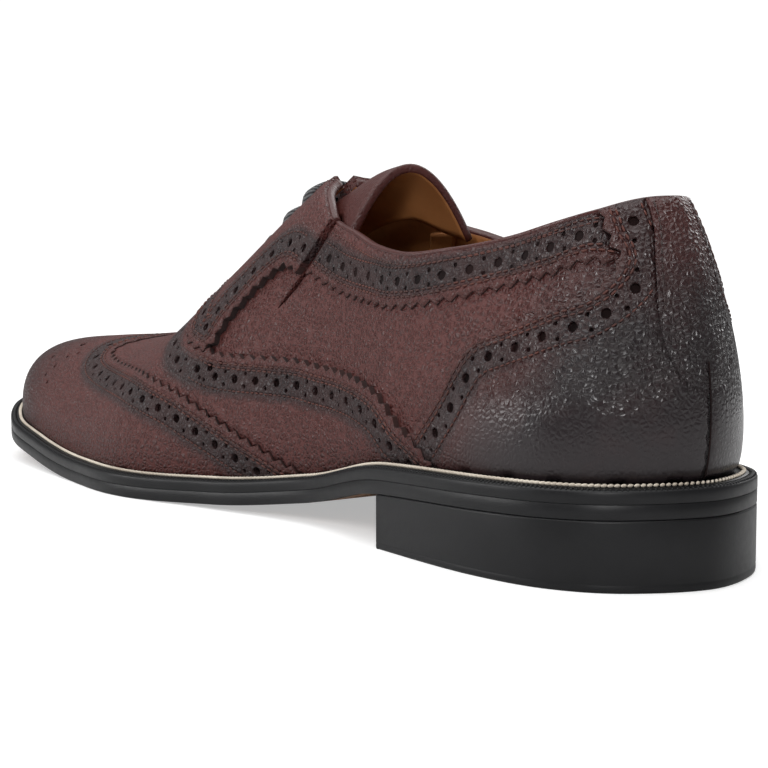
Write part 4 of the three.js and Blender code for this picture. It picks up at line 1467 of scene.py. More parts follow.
    def draw_topline(self) -> Array:
        """Unrolled line of the collar from the lateral heel over the ridge to the medial heel."""
        skin = self.skin
        shares = (skin.points[:, :, 0] + skin.last.middle_x) / skin.last.length
        above = skin.points[:, :, 2] - self.height_of_topline(shares)
        middle = (skin.columns - 1) // 2
        sides = []
        for order in (range(0, middle + 1), range(skin.columns - 1, middle - 1, -1)):
            order = np.array(order)
            line = []
            for i in range(skin.ribs):
                over = np.flatnonzero(above[i, order] > 0)
                if len(over) == 0:
                    break
                k = over[0]
                low, high = above[i, order[k - 1]], above[i, order[k]]
                place = order[k - 1] + (order[k] - order[k - 1]) * (-low / (high - low))
                share = i / (skin.ribs - 1)
                line.append((share * skin.unrolled_length, (place / middle - 1) * skin.unrolled_girth))
            sides.append(np.array(line))
        lateral, medial = sides
        tip = np.array([[lateral[-1, 0] + skin.unrolled_length / skin.ribs, 0]])
        return np.vstack([lateral, tip, medial[::-1]])

    def slit_at(self, column: str, heights: Array) -> Array:
        """One column of the slit's table at some heights."""
        return np.interp(heights, self.slit["height"][::-1], self.slit[column][::-1])

    def draw_slit(self, side: Side) -> Array:
        """Unrolled outline of a collar slit, from its front edge round to its rear edge."""
        heights = np.linspace(self.slit["height"][0], self.slit["height"][-1], 30)
        middle = self.slit_at("share", heights)
        half = self.slit_at("width", heights) / 2 / self.skin.last.length
        front = np.stack([middle + half, heights], axis=1)
        rear = np.stack([middle - half, heights], axis=1)[::-1]
        return self.skin.lay(Chart.PROFILE, side, np.vstack([front, rear]))

    def draw_throat(self) -> Array:
        """Unrolled outline of the throat, from its medial edge round the tip to its lateral edge."""
        start, end, tip = self.throat_share
        shares = np.linspace(start, end, 60)
        half = np.full(len(shares), self.throat_half)
        medial = np.stack([shares, half], axis=1)
        lateral = np.stack([shares, -half], axis=1)[::-1]
        outline = np.vstack([medial, [[(end + tip) / 2, self.throat_half * 0.75]], [[tip, 0]],
                             [[(end + tip) / 2, -self.throat_half * 0.75]], lateral])  # fmt: skip
        return self.skin.lay(Chart.PLAN, Side.MEDIAL, outline)

    def edge_flat(self, name: str, side: Side | None) -> Array:
        """Unrolled edge of a piece, run on over the feather where it ends there."""
        line = (self.pinked if (name, side) in self.pinked else self.edges)[name, side]
        flat = line.flat()
        start, end = self.run_over.get((name, side), (False, False))
        over = self.skin.unrolled_girth + self.run_over_reach
        if start:
            flat = np.vstack([[flat[0, 0], math.copysign(over, flat[0, 1])], flat])
        if end:
            flat = np.vstack([flat, [flat[-1, 0], math.copysign(over, flat[-1, 1])]])
        return flat

    def draw_regions(self) -> list[Region]:
        """Areas of the pieces, the uppermost first."""
        far, behind = self.skin.unrolled_length + 15, -10.0
        girth = self.skin.unrolled_girth + 12
        top = self.topline_flat
        regions = [
            Region("", np.vstack([top, [[behind, top[-1, 1]], [behind, top[0, 1]]]])),
            Region("", self.throat_flat),
            *[Region("", self.slit_flat[side]) for side in Side],
        ]
        stay = self.edge_flat("eyestay", None)
        for side in Side:
            half = stay[stay[:, 1] * side.value > 0]
            half = half if side is Side.LATERAL else half[::-1]
            slit = self.slit_flat[side]
            count = len(slit) // 2
            middle = (slit[:count] + slit[: count - 1 : -1][:count]) / 2
            upper_part = middle[np.abs(middle[:, 1]) < abs(half[0, 1])]
            ridge = [[half[-1, 0], 0.0], [upper_part[0, 0], 0.0]]
            name = f"eyestay_{side.name.lower()}"
            regions.append(Region(name, np.vstack([upper_part, half, ridge]), side))
        cap = self.edge_flat("toe_cap", None)
        regions.append(Region("toe_cap", np.vstack([cap, [[far, -girth], [far, girth]]])))
        vamp = np.vstack([self.edge_flat("vamp_panel", side) for side in Side])
        regions.append(Region("vamp_panel", np.vstack([vamp, [[far, -girth], [far, girth]]])))
        for side in (Side.LATERAL, Side.MEDIAL):
            strap = self.edge_flat("back_strap", side)
            ends = [[behind, strap[-1, 1]], [behind, strap[0, 1]]]
            regions.append(Region("back_strap", np.vstack([strap, ends]), side))
        for side in Side:
            counter = self.edge_flat("counter", side)
            counter = counter if side is Side.MEDIAL else counter[::-1]
            ends = [[behind, side.value * girth], [behind, 0.0]]
            regions.append(Region(f"counter_{side.name.lower()}", np.vstack([counter, ends]), side))
        for side in Side:
            band = self.edge_flat("collar_band", side)
            band = band if side is Side.MEDIAL else band[::-1]
            ends = [[behind, band[-1, 1]], [behind, 0.0], [band[0, 0], 0.0]]
            regions.append(Region(f"collar_band_{side.name.lower()}", np.vstack([band, ends]), side))
        return regions

    def owners(self, flat: Array) -> Array:
        """Name of the uppermost piece at each unrolled place, with none where it is cut away."""
        names = np.full(len(flat), "upper", dtype="<U24")
        for region in self.regions[::-1]:
            names[region.holds(flat)] = region.name or "none"
        return names

    def sheet_lines(self) -> list[Array]:
        """Every line that the panels' sheet is cut along."""
        lines = [self.topline_flat, self.throat_flat, *self.slit_flat.values()]
        for name, side in self.edges:
            lines.append(self.edge_flat(name, side))
            line = self.edges[name, side]
            if (name, side) in self.pinked:
                inner = line.pinked(self.seam.tooth_pitch, self.seam.tooth_depth, 0.5)
            else:
                inner = line.moved(0.5)
            lines.append(inner.flat())
        return lines

    def place_punches(self) -> list[Punch]:
        """Holes of every punched row and of the toe's medallion, kept clear of edges and of each other."""
        found: list[Punch] = []
        for (name, _), line in self.edges.items():
            if name != "back_strap":
                found += self.row_of_punches(name, line)
        found += self.row_of_punches("vamp_panel", self.vamp_front())
        return self.apart(found + self.medallion())

    def vamp_front(self) -> SurfaceLine:
        """The eyestay's edge, followed by the vamp's punched row in front of it."""
        edge = self.edges["eyestay", None]
        return SurfaceLine(self.skin, edge.points[::-1], edge.normals[::-1])

    def row_of_punches(self, name: str, line: SurfaceLine) -> list[Punch]:
        """Large holes with pairs of small ones between them, beside one edge of a panel."""
        seam = self.seam
        row = line.moved(seam.holes)
        row = SurfaceLine.from_points(self.skin, respaced(row.points, 0.5))
        run, across = row.distance_along(), row.sideways()
        found: list[Punch] = []
        for at in np.arange(seam.hole_pitch / 2, run[-1], seam.hole_pitch):
            found += self.punch(row, run, across, at, 0.0, seam.big_radius, name)
            for shift in (-seam.small_shift, seam.small_shift):
                between = at + seam.hole_pitch / 2
                found += self.punch(row, run, across, between, shift, seam.small_radius, name)
        return found

    def punch(
        self, row: SurfaceLine, run: Array, across: Array, at: float, shift: float, radius: float, name: str
    ) -> list[Punch]:
        """One hole of a row, or none where another piece or the row's end is near."""
        k = int(np.searchsorted(run, at))
        if k >= len(run):
            return []
        centre = row.points[k] + across[k] * shift
        hole = Punch(tuple(centre), tuple(row.normals[k]), radius, self.hole_rim)
        around = self.owners(hole.ring(self.skin, radius + self.hole_margin, 10))
        return [hole] if all(owner.startswith(name) for owner in around) else []

    def medallion(self) -> list[Punch]:
        """Holes of the ornament on the toe, a symmetric rosette."""
        places, radii = [], []
        for reach, count, turn, radius in self.medallion_rings:
            for k in range(count):
                angle = (k + turn) / count * 2 * math.pi
                share = self.medallion_share + reach * math.cos(angle) / self.skin.last.length
                places.append((share, reach * math.sin(angle)))
                radii.append(radius)
        flats = [self.skin.lay(Chart.PLAN, Side.MEDIAL, np.array(places))]
        for side in Side:
            flats.append(self.skin.lay(Chart.SLANT, side, np.array([row[:2] for row in self.medallion_curl])))
            radii += [row[2] for row in self.medallion_curl]
        points, normals = self.skin.at(np.vstack(flats))
        holes = zip(points, normals, radii)
        return [Punch(tuple(point), tuple(normal), radius, self.hole_rim) for point, normal, radius in holes]

    def apart(self, punches: list[Punch]) -> list[Punch]:
        """Punches without those that would run into an earlier one."""
        kept: list[Punch] = []
        for punch in sorted(punches, key=lambda punch: -punch.radius):
            near = [math.dist(punch.centre, other.centre) - punch.radius - other.radius for other in kept]
            if not near or min(near) > self.hole_gap:
                kept.append(punch)
        return kept


def over_ridge(first: Array, second: Array) -> Array:
    """Two unrolled lines that meet at the ridge, as one."""
    middle = np.array([[(first[-1, 0] + second[0, 0]) / 2, 0.0]])
    return np.vstack([first, middle, second])


def runs_of(wanted: Array, least: int = 4) -> list[slice]:
    """Stretches of true values, without the very short ones."""
    padded = np.concatenate([[False], wanted, [False]]).astype(int)
    starts, ends = np.flatnonzero(np.diff(padded) == 1), np.flatnonzero(np.diff(padded) == -1)
    return [slice(a, b) for a, b in zip(starts, ends) if b - a >= least]


@dataclass
class Upper:
    """The hollow leather upper with its overlaid panels, folded rims and stitching."""

    pattern: Pattern
    finishes: Finishes
    row: BeadRow
    quarter: Layer = Layer(-1.3, -3.2, 0.25)
    layers: dict[str, Layer] = field(default_factory=lambda: {
        "collar_band": Layer(-0.55, -1.6),
        "counter": Layer(0.05, -1.6, 0.2),
        "back_strap": Layer(0.4, -1.6, flush_top=0.05),
        "vamp_panel": Layer(0.4, -1.6),
        "eyestay": Layer(0.75, -1.6),
        "toe_cap": Layer(0.95, -1.6),
    })
    stitch: OvalSizes = OvalSizes(2.0, 1.6, 0.5, 0.4)
    fine_stitch: OvalSizes = OvalSizes(1.7, 1.35, 0.42, 0.36)
    rim_width: float = 1.5
    rim_height: float = 2.6
    rim_offset: float = -1.85
    seam_line: float = 0.45
    raw_reach: float = 1.4
    strap_fade: tuple[float, float] = (56.0, 67.0)

    def build(self) -> list[bpy.types.Object]:
        """Build the quarter, the panels, the rims and the stitches."""
        pieces = [self.hollow_upper()]
        sheet = CutSheet(self.pattern.skin, self.pattern.sheet_lines(), self.pattern.punches)
        sheet.build()
        names = self.pattern.owners(sheet.centres)
        names[self.in_punches(sheet)] = "none"
        for node in sorted(set(names) - {"none", "upper"}):
            faces = sheet.faces[names == node]
            pieces.append(self.panel(node, sheet, faces))
        pieces += self.rims()
        pieces += self.stitches()
        return pieces

    def in_punches(self, sheet: CutSheet) -> Array:
        """Which triangles of a sheet lie inside a punched hole."""
        centres = sheet.points[sheet.faces].mean(axis=1)
        tree = KDTree(len(self.pattern.punches))
        for i, punch in enumerate(self.pattern.punches):
            tree.insert(punch.centre, i)
        tree.balance()
        found = [tree.find(centre) for centre in centres]
        return np.array([distance < self.pattern.punches[i].radius * 0.99 for _, i, distance in found])

    def shell(
        self, sheet: CutSheet, faces: Array, layer: Layer
    ) -> tuple[Array, list[tuple[int, ...]], Array, Array]:
        """Give a part of a sheet its thickness.

        Args:
            sheet: The cut sheet.
            faces: Its triangles that belong to the piece.
            layer: Heights of the piece over the last.

        Returns:
            Points, faces, part of each face (0 outer, 1 edge, 2 inner) and points on the last.
        """
        used, compact = np.unique(faces, return_inverse=True)
        compact = compact.reshape(faces.shape)
        points, normals = sheet.points[used], sheet.normals[used]
        rim_edges = boundary_edges(compact)
        rim_points = points[np.unique(rim_edges)]
        strap = np.vstack([self.pattern.edges["back_strap", side].points for side in Side])
        strap = strap[strap[:, 2] < self.strap_fade[1]]
        rim_points = rim_points[nearest_distance(rim_points, respaced(strap, 0.4)) > 0.6]
        rim = nearest_distance(points, rim_points)
        drop = layer.rounding * (1 - np.clip(rim / layer.round_width, 0, 1)) ** 2
        rise = layer.top - drop
        if layer.flush_top is not None:
            shown = smoothstep(*self.strap_fade, points[:, 2])
            rise = layer.flush_top + (rise - layer.flush_top) * shown
        outer = points + normals * rise[:, None]
        inner = points + normals * layer.bottom
        count = len(used)
        walls = np.hstack([rim_edges + count, rim_edges[:, ::-1]])
        all_faces = [*map(tuple, compact), *map(tuple, walls), *map(tuple, compact[:, ::-1] + count)]
        part = np.repeat([0, 1, 2], [len(compact), len(walls), len(compact)])
        return np.vstack([outer, inner]), all_faces, part, np.vstack([points, points])

    def tones(self, points: Array, seam: Array) -> dict[str, Array]:
        """Burnish and other tones of the leather at each point.

        Args:
            points: Places on the last.
            seam: Distance from the piece's own punched edge.

        Returns:
            The masks by name.
        """
        x, z = points[:, 0], points[:, 2]
        above_seat = z - self.pattern.skin.last.seat(x + self.pattern.skin.last.middle_x)
        rows = smoothstep(1.5, 3.6, seam) * (1 - smoothstep(9.5, 12.5, seam))
        toe = 0.9 * smoothstep(84, 138, x)
        reach = -104 - 22 * smoothstep(4, 40, above_seat)
        heel = (1 - smoothstep(reach - 22, reach + 22, x)) * (1 - 0.55 * smoothstep(30, 60, above_seat))
        # The leather turns a darker crimson and rougher towards the welt.
        low = 0.85 * (1 - smoothstep(1, 15, above_seat))
        heel_foot = (1 - smoothstep(-112, -84, x)) * (1 - smoothstep(12, 24, above_seat))
        strap_top = (1 - smoothstep(-146, -138, x)) * smoothstep(50, 62, above_seat)
        return {
            "burnish": np.clip(np.maximum.reduce([0.8 * rows, toe, heel]), 0, 1),
            "low": low,
            "seam": seam,
            "smooth": np.clip(0.85 * heel_foot + 0.6 * strap_top, 0, 1),
            "polish": np.clip(np.maximum(1 - smoothstep(-128, -92, x), smoothstep(104, 138, x)), 0, 1),
        }

    def hollow_upper(self) -> bpy.types.Object:
        """The quarter's leather outside and the tan lining inside, in one wall."""
        pattern = self.pattern
        lines = [pattern.topline_flat, pattern.throat_flat, *pattern.slit_flat.values()]
        sheet = CutSheet(pattern.skin, lines, [], spacing=2.2)
        sheet.build()
        faces = sheet.faces[pattern.owners(sheet.centres) != "none"]
        points, all_faces, part, on_last = self.shell(sheet, faces, self.quarter)
        tones = self.tones(on_last, np.full(len(points), FAR))
        materials = [self.finishes.leather, self.finishes.leather, self.finishes.lining]
        name = "quarter_and_lining"
        piece = MeshMaker.make(name, points, all_faces, materials, part, tones, part != 1)
        return settle(piece, "leather", "upper")

    def panel(self, node: str, sheet: CutSheet, faces: Array) -> bpy.types.Object:
        """One overlaid panel, with its raw edge."""
        kind = next(name for name in self.layers if node.startswith(name))
        points, all_faces, part, on_last = self.shell(sheet, faces, self.layers[kind])
        half = len(points) // 2
        lines = [line.points for (name, _), line in self.pattern.edges.items() if name == kind]
        if kind == "vamp_panel":
            lines.append(self.pattern.vamp_front().points)
        seam = np.full(half, FAR)
        if kind != "back_strap":
            seam = nearest_distance(on_last[:half], respaced_all(lines, 0.7))
        seam = np.concatenate([seam, seam])
        smooth = part != 1
        first = np.array([face[0] for face in all_faces]) % half
        part = np.where((part == 1) & (seam[first] > self.raw_reach), 0, part)
        # Walls near an edge take the raw edge, whose dark brown is partly painted notch shade.
        materials = [self.finishes.leather, self.finishes.raw_edge, self.finishes.raw_edge]
        tones, name = self.tones(on_last, seam), f"{node}_leather"
        piece = MeshMaker.make(name, points, all_faces, materials, part, tones, smooth)
        return settle(piece, "leather", node)

    def rims(self) -> list[bpy.types.Object]:
        """Rolled rim of the collar, the seam of the heel and the dark floors of the holes, which are painted
        shadow.
        """
        pattern = self.pattern
        skin = pattern.skin
        top = SurfaceLine.from_flat(skin, pattern.topline_flat, 1.0)
        gaps = [Region("", pattern.throat_flat), *[Region("", flat) for flat in pattern.slit_flat.values()]]
        flat = top.flat()
        blocked = np.any([gap.holds(flat) for gap in gaps], axis=0)
        meshes = []
        for run in runs_of(~blocked):
            path = top.points[run] + top.normals[run] * self.rim_offset
            meshes.append(tube(path, top.normals[run], self.rim_width, self.rim_height, 12))
        points, faces = joined(meshes)
        tones = self.tones(points, np.full(len(points), FAR))
        tones["burnish"] *= 0.5
        tones["smooth"] = np.full(len(points), 0.8)
        rims = MeshMaker.make("rolled_rims", points, faces, [self.finishes.leather], None, tones)
        return [settle(rims, "leather"), self.back_seam(), self.hole_floors()]

    def back_seam(self) -> bpy.types.Object:
        """Dark line of the seam at the middle of the heel, below the strap."""
        skin = self.pattern.skin
        middle = skin.points[0, : skin.columns // 2]
        keep = (middle[:, 2] > skin.last.seat(0.0) + 1) & (middle[:, 2] < self.strap_fade[0] - 8)
        path = middle[keep] + skin.normals[0, : skin.columns // 2][keep] * 0.1
        points, faces = tube(path, skin.normals[0, : skin.columns // 2][keep], self.seam_line, 0.3, 8)
        return settle(MeshMaker.make("back_seam", points, faces, [self.finishes.hole_floor]), "leather")

    def hole_floors(self) -> bpy.types.Object:
        """Painted shadow: a dark floor under every punched hole, standing in for the shade inside it."""
        meshes = []
        for punch in self.pattern.punches:
            centre, normal = np.array(punch.centre), np.array(punch.normal)
            ring, _ = self.pattern.skin.at(punch.ring(self.pattern.skin, punch.radius + 0.25, 10))
            points = np.vstack([centre, ring]) - normal * 1.05
            faces = [(0, 1 + k, 1 + (k + 1) % 10) for k in range(10)]
            meshes.append((points, faces))
        points, faces = joined(meshes)
        return settle(MeshMaker.make("hole_floors", points, faces, [self.finishes.hole_floor]), "leather")

    def paths_on(self, name: str, line: SurfaceLine, inset: float, lift: float) -> list[tuple[Array, Array]]:
        """Stretches of a row of stitches that lie on their own panel."""
        row = line.moved(inset)
        row = SurfaceLine.from_points(self.pattern.skin, respaced(row.points, 0.8))
        owned = np.array([owner.startswith(name) for owner in self.pattern.owners(row.flat())])
        shorter = [slice(run.start + 2, run.stop - 2) for run in runs_of(owned, 8)]
        return [(row.points[run] + row.normals[run] * lift, row.normals[run]) for run in shorter]

    def stitches(self) -> list[bpy.types.Object]:
        """Rows of stitches along every edge."""
        seam = self.pattern.seam
        brown, fine, dark = [], [], []
        for (name, _), line in self.pattern.edges.items():
            lift = self.layers[name].top + 0.05
            if name == "back_strap":
                keep = line.points[:, 2] > self.strap_fade[0]
                high = SurfaceLine(line.skin, line.points[keep], line.normals[keep])
                dark += self.paths_on(name, high, 1.3, lift)
                continue
            brown += self.paths_on(name, line, seam.first_row, lift)
            brown += self.paths_on(name, line, seam.second_row, lift)
            fine += self.paths_on(name, line, seam.third_row, lift)
        topline = SurfaceLine.from_flat(self.pattern.skin, self.pattern.topline_flat, 1.0)
        fine += self.paths_on("collar_band", topline, -2.6, self.layers["collar_band"].top + 0.05)
        throat = SurfaceLine.from_flat(self.pattern.skin, self.pattern.throat_flat, 1.0)
        for inset in (2.4, 4.4):
            for sign in (-1, 1):
                brown += self.paths_on("eyestay", throat, sign * inset, self.layers["eyestay"].top + 0.05)
        rows = (
            ("brown_stitches", brown, self.stitch, self.finishes.thread),
            ("fine_stitches", fine, self.fine_stitch, self.finishes.thread),
            ("strap_stitches", dark, self.fine_stitch, self.finishes.dark_thread),
        )
        return [settle(self.row.lay(*row), "lace") for row in rows]


def respaced_all(lines: Sequence[Array], step: float) -> Array:
    """Points of several lines at an even spacing."""
    return np.vstack([respaced(line, step) for line in lines])


def joined(meshes: Sequence[tuple[Array, Array]]) -> tuple[Array, list[tuple[int, ...]]]:
    """Several meshes as one."""
    points, faces, start = [], [], 0
    for some_points, some_faces in meshes:
        points.append(some_points)
        faces += [tuple(int(i) + start for i in face) for face in some_faces]
        start += len(some_points)
    return np.vstack(points), faces


@dataclass
class SoleUnit:
    """Welt with its bead, outsole, heel and insole, swept from the outline of the last."""

    last: LastForm
    finishes: Finishes
    row: BeadRow
    welt_inner: float = 8.5
    outsole_setback: float = 0.03
    heel_setback: float = 0.06
    breast_share: float = 0.255
    insole_inset: float = 8.95
    insole_rise: float = 2.2
    bead_inset: float = 3.0
    bead_lift: float = 0.5
    wheel_inset: float = 1.1
    wheel_lift: float = -0.08
    groove_share: float = 0.12
    groove_depth: float = 0.08
    bead: OvalSizes = OvalSizes(1.35, 1.65, 0.74, 0.85, 34.0)
    wheel_mark: OvalSizes = OvalSizes(1.15, 0.7, 1.9, 0.8)

    def build(self) -> list[bpy.types.Object]:
        """Build the pieces of the bottom."""
        return [*self.welt(), self.outsole(), self.heel(), self.insole()]

    def rings(self, loop: Array, profile: Rows, height: Callable[[Array, float], Array]) -> tuple[Array, int]:
        """Points of a profile carried round a loop.

        Args:
            loop: Flat loop, clockwise from above.
            profile: Inset and height mark of each corner, from the underside round the outer edge to the top.
            height: Height at places along the shoe for a mark.

        Returns:
            Points, ring after ring, and the number in each.
        """
        rings = []
        for inset, mark in profile:
            flat = inset_loop(loop, inset)
            rings.append(np.column_stack([flat, height(flat[:, 0], mark)]))
        return np.vstack(rings), len(loop)

    @staticmethod
    def sides(rings: int, count: int, closed: bool) -> list[tuple[int, int, int, int]]:
        """Quads between the rings of a profile, facing outward."""
        quads = []
        for r in range(rings if closed else rings - 1):
            a, b = r * count, (r + 1) % rings * count
            quads += [(a + k, b + k, b + (k + 1) % count, a + (k + 1) % count) for k in range(count)]
        return quads

    @staticmethod
    def cap(ring: Array, height: Callable[[Array], Array], upward: bool) -> tuple[Array, Array]:
        """Fill a ring with a smooth face.

        Args:
            ring: Points round the rim.
            height: Height at places along the shoe.
            upward: Whether it faces up.

        Returns:
            Points and triangles.
        """
        low, high = ring[:, :2].min(axis=0), ring[:, :2].max(axis=0)
        xs, ys = np.meshgrid(np.arange(low[0], high[0], 4.0), np.arange(low[1], high[1], 4.0))
        grid = np.column_stack([xs.ravel(), ys.ravel()])
        grid = grid[inside(grid, inset_loop(ring[:, :2], 1.5))]
        everything = np.vstack([ring[:, :2], grid])
        edges = [(k, (k + 1) % len(ring)) for k in range(len(ring))]
        cut = delaunay_2d_cdt([Vector(p) for p in everything], edges, [], 1, 1e-6)
        flat = np.array([tuple(p) for p in cut[0]])
        faces = np.array(cut[2])
        turn = np.cross(flat[faces[:, 1]] - flat[faces[:, 0]], flat[faces[:, 2]] - flat[faces[:, 0]])
        flip = (turn < 0) == upward
        faces[flip] = faces[flip][:, ::-1]
        return np.column_stack([flat, height(flat[:, 0])]), faces

    def block(
        self, name: str, loop: Array, profile: Rows, height: Callable[[Array, float], Array],
        materials: Sequence[bpy.types.Material],
    ) -> bpy.types.Object:  # fmt: skip
        """Make a solid from a loop and its edge profile, with slots for the side, underside and top."""
        points, count = self.rings(loop, profile, height)
        sides = self.sides(len(profile), count, False)
        under = self.cap(points[:count], lambda x: height(x, profile[0][1]), False)
        top = self.cap(points[-count:], lambda x: height(x, profile[-1][1]), True)
        everything, faces = joined([(points, sides), under, top])
        slots = [0] * len(sides) + [1] * len(under[1]) + [2] * len(top[1])
        _, first, inverse = np.unique(np.round(everything, 3), axis=0, return_index=True, return_inverse=True)
        inverse = inverse.reshape(-1)
        kept, kept_slots = [], []
        for face, slot in zip(faces, slots):
            corners = tuple(dict.fromkeys(int(inverse[i]) for i in face))
            if len(corners) > 2:
                kept.append(corners)
                kept_slots.append(slot)
        smooth, places = np.array(kept_slots) == 0, self.last.place(everything[first])
        return MeshMaker.make(name, places, kept, materials, kept_slots, None, smooth)

    def welt(self) -> list[bpy.types.Object]:
        """The storm welt with its cream bead and the wheel marks on its rim."""
        loop = self.last.welt_loop[::2]
        profile = (
            (self.welt_inner, -2.8), (self.welt_inner - 1, -3.08), (0.12, -3.08), (0, -2.95), (0, -0.7),
            (0.2, -0.3), (0.6, -0.05), (2.1, 0.02), (2.3, 0.15), (3.0, 0.2), (3.7, 0.15), (3.9, 0.05),
            (5.2, 0.2), (self.welt_inner, 0.1),
        )  # fmt: skip
        points, count = self.rings(loop, profile, lambda x, mark: self.last.seat(x) + mark)
        faces = self.sides(len(profile), count, True)
        ring = MeshMaker.make("storm_welt", self.last.place(points), faces, [self.finishes.sole_black])
        pieces = [settle(ring, "sole", "welt")]
        for title, inset, lift, sizes, finish in (
            ("welt_bead", self.bead_inset, self.bead_lift, self.bead, self.finishes.cream),
            ("wheel_marks", self.wheel_inset, self.wheel_lift, self.wheel_mark, self.finishes.sole_black),
        ):
            flat = self.last.inset(inset)
            flat = np.vstack([flat, flat[:1]])
            path = np.column_stack([flat, self.last.seat(flat[:, 0]) + lift])
            upward = np.tile([0.0, 0.0, 1.0], (len(path), 1))
            paths = [(self.last.place(path), upward)]
            pieces.append(settle(self.row.lay(title, paths, sizes, finish), "sole"))
        return pieces

    def over_underside(self, x: Array, mark: float) -> Array:
        """Height at a distance over the sole's underside."""
        return self.last.underside(x) + mark

    def outsole(self) -> bpy.types.Object:
        """The leather outsole, black at its edge and tan below."""
        black, tan = self.finishes.sole_black, self.finishes.sole_tan
        thick = self.last.outsole_thickness
        profile = (
            (3.2, 0), (0.5, 0.02), (0.12, 0.16), (0, 0.4), (0, thick - 0.1), (0.08, thick), (4.0, thick),
        )  # fmt: skip
        loop = inset_loop(self.last.welt_loop, self.outsole_setback)[::2]
        materials = [black, tan, black]
        piece = self.block("leather_outsole", loop, profile, self.over_underside, materials)
        return settle(piece, "sole", "outsole")

    def heel(self) -> bpy.types.Object:
        """The stacked heel, with the groove over its top piece."""
        loop = inset_loop(self.last.welt_loop, self.heel_setback)[::2]
        breast = self.breast_share * self.last.length
        toe = int(np.argmax(loop[:, 0]))
        medial = loop[: toe + 1][loop[: toe + 1, 0] <= breast]
        lateral = loop[toe + 1 :][loop[toe + 1 :, 0] <= breast]
        first, last = [breast, medial[-1, 1]], [breast, lateral[0, 1]]
        across = np.linspace(first, last, 30)
        loop = np.vstack([lateral, medial, across])
        share, depth = self.groove_share, self.groove_depth
        marks = (
            (0.5, 0.0), (0.12, 0.015), (0, 0.05), (0, share - 0.022), (depth, share - 0.008),
            (depth, share + 0.008), (0, share + 0.022), (0, 0.97), (0.1, 1.0),
        )  # fmt: skip
        black = [self.finishes.sole_black] * 3
        piece = self.block("stacked_heel", loop, marks, lambda x, mark: self.last.underside(x) * mark, black)
        return settle(piece, "sole", "heel_stack")

    def insole(self) -> bpy.types.Object:
        """The insole with its tan sock."""
        tan = self.finishes.lining
        loop = self.last.inset(self.insole_inset)[::3]
        base = self.last.outsole_thickness + self.last.clearance
        top = self.last.outsole_thickness + self.last.welt_thickness + self.insole_rise
        profile = ((0.5, base), (0, base + 0.5), (0, top - 0.6), (0.25, top - 0.15), (1.0, top))
        piece = self.block("insole_and_sock", loop, profile, self.over_underside, [tan] * 3)
        return settle(piece, "sock", "insole")


